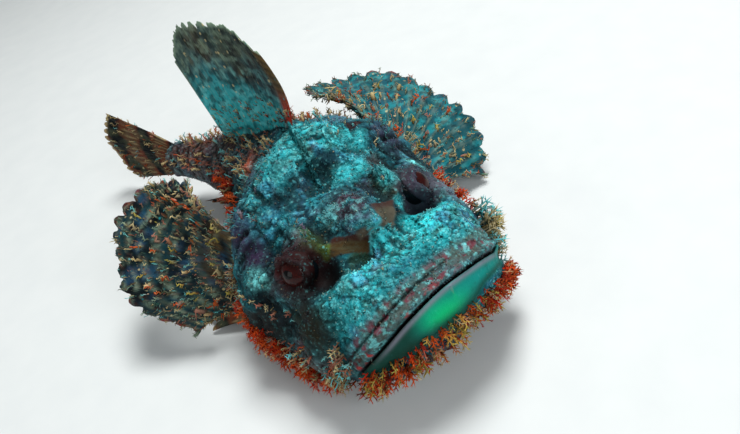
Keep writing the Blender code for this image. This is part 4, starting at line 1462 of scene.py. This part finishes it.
# Rows of tassels on each side, by piece: guide line, count, scatter, lean, length and palette
TASSEL_ROWS = {
    "beard_tassels": {
        "mouth corner": ([(33, 17, 33), (36, 21, 25), (36, 23, 16)],
                         44, 2.0, (0.9, -0.4, 0.0), 6.0, "pale corner"),
        "left corner": ([(36, 19, 34), (41, 29, 33)], 30, 2.0, (1.0, -0.5, 0.1), 8.5, "pale corner"),
    },
    "cheek_tassels": {
        "cheek foot upper": ([(38, 26, 15), (44, 44, 13), (47, 68, 12)],
                             66, 1.9, (0.9, 0.2, -0.1), 6.0, "warm"),
        "cheek foot": ([(37, 24, 10), (43, 44, 9), (46, 74, 8)], 96, 1.9, (0.9, 0.1, -0.2), 6.5, "warm"),
        "cheek foot lower": ([(34, 22, 6), (41, 42, 4), (44, 70, 4)], 56, 1.6, (0.9, 0, 0), 5.5, "warm"),
        "gill foot": ([(42, 84, 22), (47, 72, 23), (48, 58, 21), (46, 48, 17)],
                      60, 1.8, (0.9, 0, 0), 5.5, "warm"),
        "left cheek": ([(41, 28, 34), (43, 40, 38), (44, 52, 40)], 46, 2.4, (0.9, -0.1, 0.4), 4.6, "warm"),
        "gill cover edge": ([(44, 78, 40), (47, 80, 30), (46, 79, 18)],
                            30, 1.4, (0.9, 0.6, 0.1), 4.5, "dull"),
    },
    "body_tassels": {
        "cheek": ([(42, 28, 27), (45, 40, 20), (46, 54, 20)], 30, 2.8, (1.0, 0.3, 0), 4.0, "dark red"),
        "cheek ridge": ([(36, 38, 37), (40, 48, 35), (44, 64, 35)], 16, 1.4, (0.8, 0.2, 0.5), 3.0, "dull"),
        "brow": ([(17, 43, 57), (18, 53, 58)], 14, 1.8, (0.2, 0.2, 1), 2.6, "skin"),
        "nape": ([(8, 74, 68), (16, 86, 66), (24, 78, 58)], 26, 3.4, (0.2, 0.5, 0.9), 2.6, "skin"),
        "shoulder": ([(30, 72, 54), (36, 84, 50), (38, 92, 46)],
                     26, 2.6, (0.6, 0.5, 0.6), 3.6, "dull and teal"),
        "flank": ([(38, 96, 44), (33, 108, 42), (24, 128, 38), (17, 143, 36)],
                  62, 2.8, (0.8, 0.8, 0.1), 5.0, "red"),
        "flank upper": ([(26, 98, 54), (22, 118, 50), (15, 140, 44)],
                        40, 2.6, (0.5, 0.8, 0.5), 4.4, "dull"),
        "flank lower": ([(38, 100, 18), (30, 120, 18), (20, 145, 20)],
                        40, 2.8, (0.9, 0.7, 0), 5.0, "dark red"),
        "back": ([(12, 96, 64), (11, 118, 55), (7, 140, 48)], 40, 2.4, (0.2, 0.8, 0.6), 4.0, "dull"),
        "tail": ([(14, 150, 34), (11, 170, 32), (8, 190, 28)], 34, 2.4, (0.8, 0.9, 0.1), 4.6, "dark red"),
        "tail top": ([(3, 146, 44), (2, 170, 38), (1, 190, 34)], 26, 1.6, (0.1, 0.9, 0.6), 4.4, "dull"),
        "snout": ([(6, 18, 53), (14, 20, 52), (22, 18, 48)], 8, 2.0, (0.1, -0.5, 1), 1.8, "skin"),
    },
}

# Rows that the photograph shows on the left side only, and those with other colours on the right
LEFT_ROWS = ("left cheek", "left corner")
RIGHT_PALETTES = {"mouth corner": "dull"}

# The beard: depth under the chin's smooth crescent, how many from corner to corner, and length;
# it is pale and straw-coloured between two places across the chin, and red beyond them
BEARD_ROWS = [(0.5, 44, 4.4), (3, 44, 5.2), (6, 44, 6.0), (10, 40, 6.5), (14, 36, 6.5), (18, 30, 6.0),
              (22, 24, 5.0)]
BEARD_SPREAD = 84
STRAW_BEARD = (-15, 5)

# The beard's curve: half its width, how far its ends lie below and behind its front, and its lowest
BEARD_HALF_WIDTH = 33
BEARD_END_DROP = 19
BEARD_BEND = 16
BEARD_END_Y = 13
BEARD_LOWEST = 2.5

PAPILLAE = 8600
PAPILLA_LENGTH = 0.85
PAPILLA_LIGHT = 0.35


def plant_rows(skin, planting, rng):
    """The rows of tassels of one piece of the coat."""
    for name, (line, count, scatter, lean, length, palette) in TASSEL_ROWS[planting.name].items():
        for side in (1,) if name in LEFT_ROWS else (1, -1):
            if side == -1:
                palette = RIGHT_PALETTES.get(name, palette)
            chosen = skin.near(along_line(line, count, scatter, side, rng))
            plant_on_skin(skin, planting, chosen, unit(mirrored(lean, side)), length, palette, rng)


def plant_on_skin(skin, planting, chosen, lean, length, palette, rng):
    """Root tufts at chosen points of the skin, leaning the given way."""
    count = len(chosen)
    normals = skin.flat_normals[chosen]
    ways = normals * 0.7 + lean + rng.normal(scale=0.28, size=(count, 3))
    roots = skin.flat_points[chosen] - normals * 0.5
    lengths = length * rng.uniform(0.65, 1.3, count)
    planting.put(roots, ways, lengths, skin.maps[chosen], *tuft_colours(rng, count, palette),
                 rng.uniform(0.8, 1.15, count), rng.uniform(-0.25, 0.25, count))


def plant_beard(skin, planting, rng):
    """Tassels hanging from the lower jaw in rows from corner to corner."""
    for depth, count, length in BEARD_ROWS:
        turn = np.radians(BEARD_SPREAD) * np.linspace(-1, 1, count) + rng.normal(scale=0.03, size=count)
        across = BEARD_HALF_WIDTH * np.sin(turn)
        drop = BEARD_END_DROP * np.sin(turn) ** 2 + chin_depth(across) * 1.12 + depth
        height = np.maximum(JAW_TIP[2] - (drop + rng.uniform(-1.5, 1.5, count)), BEARD_LOWEST)
        ahead = BEARD_END_Y - BEARD_BEND * np.cos(turn)
        chosen = skin.near(np.stack([across + sideways(ahead), ahead, height], axis=-1))
        lean = np.stack([0.8 * np.sin(turn), -0.75 * np.cos(turn), np.full(count, -0.3)], axis=-1)
        strayed = across + rng.normal(scale=3.0, size=count)
        straw = (strayed > STRAW_BEARD[0]) & (strayed < STRAW_BEARD[1])
        for kind, palette in ((straw, "straw beard"), (~straw, "red beard")):
            plant_on_skin(skin, planting, chosen[kind], lean[kind], length, palette, rng)


def plant_papillae(skin, planting, rng):
    """Small papillae over the skin in the skin's own colours, a little lighter at the tip."""
    chosen = skin.scattered(PAPILLAE, papilla_density, rng)
    roots = skin.flat_points[chosen] - skin.flat_normals[chosen] * 0.3
    ways = skin.flat_normals[chosen] + rng.normal(scale=0.25, size=(PAPILLAE, 3)) + (0, 0.25, 0)
    base = skin.colours[chosen]
    light = PAPILLA_LIGHT * (0.15 + 0.85 * lightness(base))[:, None]
    tips = base * (1 - light) + tinted(rng, PAPILLAE, PAPILLA_TIPS) * light
    lengths = PAPILLA_LENGTH * rng.uniform(0.6, 1.5, PAPILLAE)
    planting.put(roots, ways, lengths, skin.maps[chosen], base, tips,
                 rng.uniform(0.8, 1.3, PAPILLAE), rng.uniform(0, 0.3, PAPILLAE))


def papilla_density(points):
    """Papillae are thick on the boss, brows, nape and back, and absent from eyes, mouth and hollows."""
    density = 0.25 + 0.75 * smooth_step(30, 55, points[..., 2])
    density = np.maximum(density, closeness(points, (0, 40, 62), (10, 12, 9)) * 1.6)
    density = density * (1 - smooth_share(points))
    density = density * (1 - closeness(points, EYE_CENTRE, (8, 8, 8), 6))
    near_slit = band(over_mouth(points), 0, 2.2) * smooth_step(24, 16, points[..., 1])
    return density * (1 - near_slit) * smooth_step(2, 8, points[..., 2]) + 1e-6


def make_coat(skin, finish):
    """The beard, the tassels of cheeks and body, and the papillae."""
    rng = np.random.default_rng(SEED)
    fronds = [frond(rng, 4 + k % 2, 0.95, 0.085) for k in range(6)]
    short = [frond(rng, 3, 1.0, 0.10) for _ in range(3)]
    short += [ragged_flap(rng, 8) for _ in range(3)]
    short += [curl(rng) for _ in range(2)]
    small = [papilla(rng) for _ in range(5)] + [wart_tuft(rng) for _ in range(2)]
    for name, kinds in (("beard_tassels", fronds), ("cheek_tassels", fronds), ("body_tassels", short)):
        tassels = Planting(name, kinds, rng)
        if name == "beard_tassels":
            plant_beard(skin, tassels, rng)
        plant_rows(skin, tassels, rng)
        tassels.build(finish)
    papillae = Planting("papillae", small, rng)
    plant_papillae(skin, papillae, rng)
    papillae.build(finish)


# Fins

def curves_through(places, points):
    """A curve for each coordinate of the points, by their places."""
    return [curve_through(list(zip(places, points[:, k]))) for k in range(3)]


def spread(points, count):
    """Points evenly spread along a smooth line through the given ones."""
    curves = curves_through(np.linspace(0, 1, len(points)), np.array(points, float))
    line = np.stack([curve(np.linspace(0, 1, LINE_POINTS)) for curve in curves], axis=-1)
    return points_along(line, np.linspace(0, lengths_along(line)[-1], count))


def off_ray(place):
    """0 on a ray, 1 half way to the next."""
    return 2 * np.abs(place - np.round(place))


# Points of a smooth line before it is spread out, and steps of a fin's grid from ray to ray
LINE_POINTS = 24
RAY_STEPS = 10

# How fins are made: how deep the margin is notched between the rays, half of the thickness at a ray and
# of the web, and how high the web waves
FIN_MAKES = {
    "pectoral": (0.09, 0.95, 0.3, 1.2),
    "pelvic": (0.12, 0.85, 0.35, 0.2),
    "spinous": (0.45, 1.1, 0.3, 0.4),
    "soft dorsal": (0.035, 0.85, 0.3, 0.7),
    "caudal": (0.05, 0.9, 0.3, 0.8),
    "anal": (0.1, 0.8, 0.3, 0.3),
}

# How far the web sags between rays, a ray's half width at its root and how much narrower it gets, how
# far its two branches part, and the spacing of its joints
WEB_SAG = 0.55
RAY_WIDTH = 0.10
RAY_NARROWING = 0.035
RAY_SPLIT = 0.17
RAY_JOINTS = 150

# The half thickness of a fin's edge, the size of each face's map and the shift of the lower face's
EDGE_HALF = 0.12
FACE_MAP = (0.48, 0.98)
LOWER_FACE = 0.51


class Fin:
    """A fin of rays: each has a root, a tip and a bow, and the web stretches between them."""

    def __init__(self, name, roots, tips, bows, make, phase):
        self.name = name
        self.count = len(roots)
        places = np.arange(self.count)
        bows = np.broadcast_to(bows, roots.shape)
        self.lines = [curves_through(places, table) for table in (roots, tips, bows)]
        self.notch, self.ray_half, self.web_half, self.wave = FIN_MAKES[make]
        self.phase = phase

    def middle(self, place, share):
        """A point of the fin's middle sheet at a place across the rays and a share of their length."""
        root, tip, bow = (np.stack([curve(place) for curve in line], axis=-1) for line in self.lines)
        share = share[..., None]
        return root + (tip - root) * share + bow * 4 * share * (1 - share)

    def surface(self, place, share):
        """Middle points with waves and sag, and the normals there."""
        step = 0.02
        ahead, behind = np.minimum(share + step, 1), np.maximum(share - step, 0)
        run = self.middle(place, ahead) - self.middle(place, behind)
        inner = np.clip(place + step, 0, self.count - 1)
        outer = np.clip(place - step, 0, self.count - 1)
        out = unit(np.cross(self.middle(inner, share) - self.middle(outer, share), run))
        wave = self.wave * share * np.sin(place * 1.15 + 2.2 * share + self.phase)
        sag = WEB_SAG * share * (1 - off_ray(place) ** 2) ** 2
        return self.middle(place, share) + out * (wave + sag)[..., None], out

    def ray_height(self, place, share):
        """How much the rays stand out; each splits in two towards the margin."""
        split = RAY_SPLIT * smooth_step(0.45, 1.0, share)
        height = band(np.abs(place - np.round(place)), split, RAY_WIDTH - RAY_NARROWING * share)
        joints = 1 + 0.10 * np.sin(share * RAY_JOINTS + np.round(place))
        return height * joints * (1 - 0.55 * share)

    def margin(self, place):
        """The share of its length that the fin reaches at this place, scalloped between rays."""
        ragged = 0.02 * np.sin(place * 7.3 + self.phase) + 0.012 * np.sin(place * 23.7)
        return 1 - self.notch * off_ray(place) ** 1.5 + ragged * off_ray(place)

    def half_thickness(self, place, share, height):
        """Half of the thickness: most on the rays, tapered to the margin and to the outer rays."""
        taper = np.clip((self.margin(place) - share) * 12 + 0.25, 0, 1)
        half = (self.web_half + (self.ray_half - self.web_half) * height) * taper
        ends = smooth_step(0, 0.6, np.minimum(place, self.count - 1 - place))
        return np.maximum(half * (0.6 + 0.4 * ends), EDGE_HALF)

    def map_places(self, place, share, face):
        """Places in the map: the upper face (1) has its left half, the lower face (-1) its right."""
        maps = np.stack([place / (self.count - 1), share], axis=-1) * FACE_MAP
        return maps + (LOWER_FACE * (face < 0), 0)

    def build(self, colours_at, finish, steps=RAY_STEPS, stations=64):
        """Make the fin's mesh, a closed thin sheet, and return it."""
        place = np.linspace(0, self.count - 1, (self.count - 1) * steps + 1)
        place, share = np.meshgrid(place, np.linspace(0, 1, stations), indexing="ij")
        share = share * self.margin(place)
        middle, out = self.surface(place, share)
        height = self.ray_height(place, share)
        half = out * self.half_thickness(place, share, height)[..., None]
        points = np.concatenate([(middle + half).reshape(-1, 3), (middle - half).reshape(-1, 3)])
        thing = mesh_object(self.name + "_skin", on_floor(points), sheet_faces(*place.shape), [], finish)
        colour = colours_at(place, share, height, middle).reshape(-1, 3)
        set_colours(thing, np.concatenate([colour, colour]))
        maps = [self.map_places(place, share, face).reshape(-1, 2) for face in (1, -1)]
        set_map(thing, np.concatenate(maps)[corner_points(thing)])
        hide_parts(self.name)
        return thing


def sheet_faces(wide, long):
    """Quads of a closed thin sheet: upper grid, lower grid and the rim between them."""
    i, j = np.meshgrid(np.arange(wide - 1), np.arange(long - 1), indexing="ij")
    a = (i * long + j).ravel()
    upper = np.stack([a, a + long, a + long + 1, a + 1], axis=-1)
    lower = upper[:, ::-1] + wide * long
    rim = list(range(long))
    rim += [i * long + long - 1 for i in range(1, wide)]
    rim += [(wide - 1) * long + j for j in range(long - 2, -1, -1)]
    rim += [i * long for i in range(wide - 2, 0, -1)]
    rim = np.array(rim)
    turned = np.roll(rim, -1)
    edge = np.stack([rim, turned, turned + wide * long, rim + wide * long], axis=-1)
    return np.concatenate([upper, lower, edge])


PECTORAL_ROOTS = [(40, 83, 46), (42, 83, 38), (42, 82, 28), (40, 81, 18), (36, 80, 10)]
PECTORAL_TIPS = {
    -1: [(35, 109, 61), (43, 127, 58), (50, 142, 52), (62, 141, 46), (72, 130, 39), (78, 117, 29),
         (74, 106, 18), (64, 96, 6)],
    1: [(30, 118, 58), (36, 140, 50), (52, 147, 45), (70, 138, 41), (84, 121, 34), (90, 101, 24),
        (86, 83, 12), (76, 72, 3)],
}
PECTORAL_RAYS = 17
PECTORAL_BANDS = (0.16, 0.29, 0.42, 0.55, 0.68, 0.81, 0.92)

PECTORAL_SINK = 5
PELVIC_ROOTS = [(22, 82, 6), (29, 74, 4.5)]
PELVIC_TIPS = [(34, 128, 2.6), (50, 118, 2.2), (58, 98, 2.0)]
PELVIC_RAYS = 6

SPINES = 11
SPINES_BASE = (63, 87)
SPINE_LENGTHS = [(0, 8), (0.3, 12), (0.7, 11), (1, 7)]
SPINE_RISES = [(0, 11), (1, 8)]

SOFT_DORSAL_RAYS = 12
SOFT_DORSAL_BASE = (98, 158)
SOFT_DORSAL_TIPS = [(9, 102, 94.6), (8, 111, 98.8), (7, 121, 102), (4.5, 136, 102), (1, 156, 98.6),
                    (-1.5, 165.6, 90.5), (-3, 170.5, 79)]
ROOT_INSET = 3.0

CAUDAL_RAYS = 12
CAUDAL_ROOTS = [(0, 193, 32), (0, 193, 15)]
CAUDAL_TIPS = [(-32, 237, 47), (-36, 243, 38), (-38, 244, 27), (-37, 241, 15), (-34, 235, 6)]

ANAL_RAYS = 8


def pectoral_fin(name, side):
    """The right fin (-1) is swept back and the left one spread wide."""
    roots = spread(mirrored(PECTORAL_ROOTS, side), PECTORAL_RAYS) - (PECTORAL_SINK * side, 0, 0)
    tips = spread(mirrored(PECTORAL_TIPS[side], side), PECTORAL_RAYS)
    return Fin(name, roots, tips, np.array([4.0 * side, 0, 5]), "pectoral", side + 2)


def pelvic_fin(name, side):
    """A small fin that lies on the floor beside the belly."""
    roots = spread(mirrored(PELVIC_ROOTS, side), PELVIC_RAYS)
    tips = spread(mirrored(PELVIC_TIPS, side), PELVIC_RAYS)
    return Fin(name, roots, tips, np.array([0, 0, 2.0]), "pelvic", side + 5)


def rooted(y):
    """A point of the back's line, a ray's root sunk under it, and the ways along and out of the back."""
    here = ridge(y, math.pi)
    run = unit(ridge(y + 4, math.pi) - ridge(y - 4, math.pi))
    out = unit(np.cross(np.array([1.0, 0, 0]), run))
    return here, here - out * ROOT_INSET, run, out


def spinous_dorsal_fin():
    """Short folded spines that lie back along the nape."""
    length_at, rise_at = curve_through(SPINE_LENGTHS), curve_through(SPINE_RISES)
    start, end = SPINES_BASE
    rays = []
    for i in range(SPINES):
        share = i / (SPINES - 1)
        here, root, run, out = rooted(start + (end - start) * share)
        rise = math.radians(float(rise_at(share)))
        tip = here + (run * math.cos(rise) + out * math.sin(rise)) * float(length_at(share))
        rays.append((root, tip, out * math.cos(rise) - run * math.sin(rise)))
    roots, tips, bows = (np.array(column) for column in zip(*rays))
    return Fin("spinous_dorsal_fin", roots, tips, bows, "spinous", 3)


def soft_dorsal_fin():
    """A tall rounded fin; its first rays bow forward into a thick leading edge."""
    start, end = SOFT_DORSAL_BASE
    shares = np.linspace(0, 1, SOFT_DORSAL_RAYS)
    roots = np.array([rooted(start + (end - start) * share)[1] for share in shares])
    bows = np.array([0.5, -7, 1]) * (1 - shares[:, None])
    return Fin("soft_dorsal_fin", roots, spread(SOFT_DORSAL_TIPS, SOFT_DORSAL_RAYS), bows, "soft dorsal", 2)


def caudal_fin():
    """The tail fin, swung to the fish's right with the tail."""
    roots = spread([beside(root) for root in CAUDAL_ROOTS], CAUDAL_RAYS)
    return Fin("caudal_fin", roots, spread(CAUDAL_TIPS, CAUDAL_RAYS), np.array([0.8, 0, 0]), "caudal", 4)


def anal_fin():
    """A small fin folded back under the tail."""
    roots, tips = [], []
    for share in np.linspace(0, 1, ANAL_RAYS):
        y = 133 + 24 * share
        roots.append(ridge(y, 0) + (0, 0, 3))
        tips.append(beside((-5 - 3 * share, y + 17 + 8 * share, 1.5 + 2 * share)))
    return Fin("anal_fin", np.array(roots), np.array(tips), np.array([-1.0, 0, -0.3]), "anal", 6)


def pectoral_colours(place, share, height, points):
    """Dark teal webs crossed by dull bands, faint rose rays and red-brown margin tips."""
    blotch = rough_noise(points, 6, 120, 3)
    shifted = share + 0.02 * rough_noise(points, 9, 125, 2) - PECTORAL_BANDS[0]
    bars = 0.5 + 0.5 * np.cos(2 * math.pi * shifted / (PECTORAL_BANDS[1] - PECTORAL_BANDS[0]))
    streak = patches(points * (0.35, 1, 1), 2.2, 127, 2, 0.0, 0.4)
    left = smooth_step(20, 40, points[..., 0])
    foot = smooth_step(0.34, 0.1, share) * patches(points, 6, 131, 2, -0.4, 0.2)
    patch = patches(points, 12, 133, 2, -0.2, 0.3)
    tip = smooth_step(0.92, 0.98, share) * (1 - smooth_step(0.1, 0.7, off_ray(place)))
    return layered(plain_colour(DEEP_TEAL, points), (
        (INK, smooth_step(-0.15, 0.35, blotch)),
        (STEEL, 0.2 * patches(points, 7, 129, 2, 0.1, 0.5)),
        (OLIVE, 0.5 * bars * smooth_step(-0.3, 0.3, -blotch)),
        (PALE_OLIVE, 0.45 * bars * streak),
        (ROSE, 0.2 * height * bars),
        (TEAL, 0.45 * left),
        (SEA, 0.50 * left * streak),
        (PALE_OLIVE, 0.45 * left * height * smooth_step(0.95, 0.6, share)),
        (INK, 0.5 * height * (1 - bars)),
        (BROWN, 0.7 * foot),
        (RUST, 0.7 * patch * smooth_step(0.88, 0.95, share)),
        (RED, 0.5 * tip * patch)))


def dashes(place, share, across, along, layer):
    """Irregular dashes that lie along a fin's rays: 1 in a dash, 0 between them."""
    spots = np.stack([place * across, share * along, 0 * share], axis=-1)
    return patches(spots, 1.0, layer, 2, 0.0, 0.35)


def soft_dorsal_colours(place, share, height, points):
    """Olive webs with rows of pale dashes, a teal foot, a red-brown leading edge and a pale margin."""
    blotch = rough_noise(points, 8, 130, 3)
    upper = smooth_step(0.45, 0.85, share + 0.15 * blotch)
    behind = place / place[-1, 0]
    foot = smooth_step(0.64, 0.30, share + 0.1 * blotch + 0.30 * (0.5 - behind))
    light_dash = dashes(place, share, 1.8, 26, 135) * (0.45 + 0.55 * height)
    dark_dash = dashes(place, share, 1.5, 20, 137)
    lead = smooth_step(1.1, 0.4, place)
    back_edge = smooth_step(0.25, 0.08, place[-1, 0] - place) * smooth_step(0.5, 0.8, share)
    return layered(plain_colour(FIN_TEAL, points), (
        (DEEP_TEAL, smooth_step(-0.1, 0.4, blotch)),
        (OLIVE, 0.55 * upper),
        (BROWN, 0.45 * patches(points, 9, 133, 2, 0.1, 0.5)),
        (SEA, 0.90 * foot),
        (BRIGHT, 0.30 * foot),
        (INK, 0.62 * dark_dash),
        (PALE_OLIVE, 0.30 * height * (1 - dark_dash)),
        (PALE, 0.72 * light_dash * (1 - upper)),
        (PALE_OLIVE, 0.75 * light_dash * upper),
        (DARK_UMBER, 0.55 * smooth_step(0.42, 0.12, behind) * smooth_step(0.25, 0.5, share)),
        (BROWN, 0.85 * lead),
        (INK, 0.5 * lead * (0.5 + 0.5 * np.sin(share * 75 + blotch))),
        (RED, 0.85 * lead * smooth_step(0.6, 0.25, share)),
        (PALE_OLIVE, 0.8 * np.maximum(smooth_step(0.95, 0.985, share), back_edge))))


def dull_fin_colours(place, share, height, points):
    """Rust and brown webs crossed by dark bands, with cream specks on the rays."""
    bars = 0.5 + 0.5 * np.sin(share * 17 + 2 * rough_noise(points, 10, 145, 2))
    return layered(plain_colour(RUST, points), (
        (INK, smooth_step(0.35, 0.8, bars)),
        (OLIVE, 0.5 * patches(points, 6, 140, 3, -0.1, 0.4)),
        (CREAM, 0.45 * height * smooth_step(0.4, 0.0, bars)),
        (CREAM, 0.5 * smooth_step(0.94, 0.98, share))))


def spiny_fin_colours(place, share, height, points):
    """The nape's own colours, with painted shade between the spines, which leaves the spines a little
    lighter.
    """
    return painted(points, 0.5 * height - 0.5)


# Rows of flaps across a fin: shares of the rays' length, how many on each ray, length, lift, scatter,
# palette and stoutness
PECTORAL_FLAPS = (PECTORAL_BANDS, 4, 3.6, 0.10, 0.016, "fin flap", 1.0)
PECTORAL_CLUMPS = (PECTORAL_BANDS[:5], 1, 4.0, 0.30, 0.02, "clump", 1.9)
SOFT_DORSAL_FLAPS = ((0.12, 0.2, 0.28), 2, 3.0, 0.5, 0.03, "dark red", 1.0)
CAUDAL_FLAPS = ((0.3, 0.6, 0.85), 2, 3.4, 0.35, 0.05, "dull", 1.0)


def fin_flaps(fin, planting, flaps, rng):
    """Thin wavy flaps in rows across both faces of a fin, lying along its rays."""
    rows, per_ray, length, lift, scatter, palette, stoutness = flaps
    count = len(rows) * per_ray
    for face, ray in product((1, -1), range(fin.count)):
        shares = np.repeat(np.array(rows), per_ray)
        shares = np.clip(shares + rng.normal(scale=scatter, size=count), 0.06, 0.985)
        places = np.clip(ray + rng.uniform(-0.5, 0.5, count), 0.02, fin.count - 1.02)
        points, out = fin.surface(places, shares * fin.margin(places))
        along = unit(fin.middle(places, np.minimum(shares + 0.05, 1)) - fin.middle(places, shares - 0.05))
        ways = out * face * lift + along + rng.normal(scale=0.22, size=points.shape)
        planting.put(points + out * face * 0.25, ways, length * rng.uniform(0.55, 1.3, count),
                     fin.map_places(places, shares, face), *tuft_colours(rng, count, palette),
                     stoutness * rng.uniform(0.8, 1.3, count), rng.uniform(-0.15, 0.15, count))


def make_pectoral_fins(curls, finish, coat_finish, rng):
    """Both pectoral fins, each with its own piece of flaps."""
    for name, side in (("pectoral_fin_right", -1), ("pectoral_fin_left", 1)):
        fin = pectoral_fin(name, side)
        fin.build(pectoral_colours, finish)
        flaps = Planting(name + "_tassels", curls, rng)
        fin_flaps(fin, flaps, PECTORAL_FLAPS, rng)
        fin_flaps(fin, flaps, PECTORAL_CLUMPS, rng)
        flaps.build(coat_finish)


def make_fins(finish, coat_finish, skin_finish):
    """All eight fins and their flaps."""
    rng = np.random.default_rng(SEED + 1)
    curls = [curl(rng) for _ in range(6)] + [ragged_flap(rng, 4) for _ in range(2)]
    make_pectoral_fins(curls, finish, coat_finish, rng)
    soft_dorsal, caudal = soft_dorsal_fin(), caudal_fin()
    soft_dorsal.build(soft_dorsal_colours, finish, steps=16)
    spiny = spinous_dorsal_fin().build(spiny_fin_colours, skin_finish, stations=32)
    set_numbers(spiny, np.ones(len(spiny.data.vertices)), "grain")
    for fin in (caudal, anal_fin(), pelvic_fin("pelvic_fin_right", -1), pelvic_fin("pelvic_fin_left", 1)):
        fin.build(dull_fin_colours, finish)
    flaps = Planting("back_fin_tassels", curls, rng)
    fin_flaps(soft_dorsal, flaps, SOFT_DORSAL_FLAPS, rng)
    fin_flaps(caudal, flaps, CAUDAL_FLAPS, rng)
    flaps.build(coat_finish)


# Studio

# Lights: place, size, power and colour
LIGHTS = {
    "key": ((0.3, 0.1, 0.95), 0.4, 11, (1.0, 1.0, 0.98)),
    "front": ((0.1, -0.95, 0.55), 0.6, 5.5, (0.95, 0.98, 1.0)),
    "side": ((-0.95, -0.2, 0.4), 0.6, 2.2, (1.0, 0.97, 0.94)),
}
LIT_POINT = (0, 0, 0.03)
FLOOR_TONES = ((214, 218, 218), (205, 210, 211))
FLOOR_HALF = 4.0
SKY_COLOUR = (0.86, 0.9, 0.92, 1)
SKY_STRENGTH = 0.2


def make_floor():
    """A pale matt floor under the fish."""
    made, tree, shader = new_material("pale_floor")
    cloud = noise(tree, place_in_fish(tree), 60.0)
    tree.links.new(blend_colour(tree, *FLOOR_TONES, cloud), shader.inputs["Base Color"])
    shader.inputs["Roughness"].default_value = 0.85
    mesh = bpy.data.meshes.new("floor")
    corners = [(x * FLOOR_HALF, y * FLOOR_HALF, 0) for x, y in ((-1, -1), (1, -1), (1, 1), (-1, 1))]
    mesh.from_pydata(corners, [], [(0, 1, 2, 3)])
    mesh.materials.append(made)
    new_object("floor", mesh)


def make_light(name, place, size, power, colour):
    """A square soft light that points at the middle of the fish."""
    light = bpy.data.lights.new(name, "AREA")
    light.size = size
    light.energy = power
    light.color = colour
    lamp = new_object(name, light)
    lamp.location = place
    towards = Vector(LIT_POINT) - Vector(place)
    lamp.rotation_euler = towards.to_track_quat("-Z", "Y").to_euler()


def make_studio():
    """The floor, the lights and a dim pale sky."""
    make_floor()
    for name, light in LIGHTS.items():
        make_light(name, *light)
    world = bpy.data.worlds.new("studio")
    world.use_nodes = True
    sky = world.node_tree.nodes["Background"]
    sky.inputs["Color"].default_value = SKY_COLOUR
    sky.inputs["Strength"].default_value = SKY_STRENGTH
    bpy.context.scene.world = world
    bpy.context.scene.view_settings.view_transform = "Standard"


def make_camera():
    """The camera that took the photograph."""
    turn, rise, roll = (math.radians(a) for a in (CAMERA_TURN, CAMERA_RISE, CAMERA_ROLL))
    back = Vector((math.sin(turn) * math.cos(rise), -math.cos(turn) * math.cos(rise), math.sin(rise)))
    right = Vector((math.cos(turn), math.sin(turn), 0))
    axes = Matrix((right, back.cross(right), back)).transposed() @ Matrix.Rotation(-roll, 3, "Z")
    data = bpy.data.cameras.new("camera")
    data.lens = LENS
    data.sensor_width = SENSOR
    data.clip_start = 0.01
    camera = new_object("camera", data)
    camera.matrix_world = Matrix.Translation(metres(CAMERA_PLACE)) @ axes.to_4x4()
    bpy.context.scene.camera = camera


def main():
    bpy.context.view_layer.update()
    skin_finish = skin_material("warty_skin")
    coat_finish = coat_material("tassel_skin")
    skin = Skin()
    make_skin(skin, skin_finish)
    make_eyes(eye_material("wet_eye"))
    make_coat(skin, coat_finish)
    make_fins(fin_material("fin_web"), coat_finish, skin_finish)
    make_studio()
    make_camera()
    bpy.context.view_layer.update()


main()
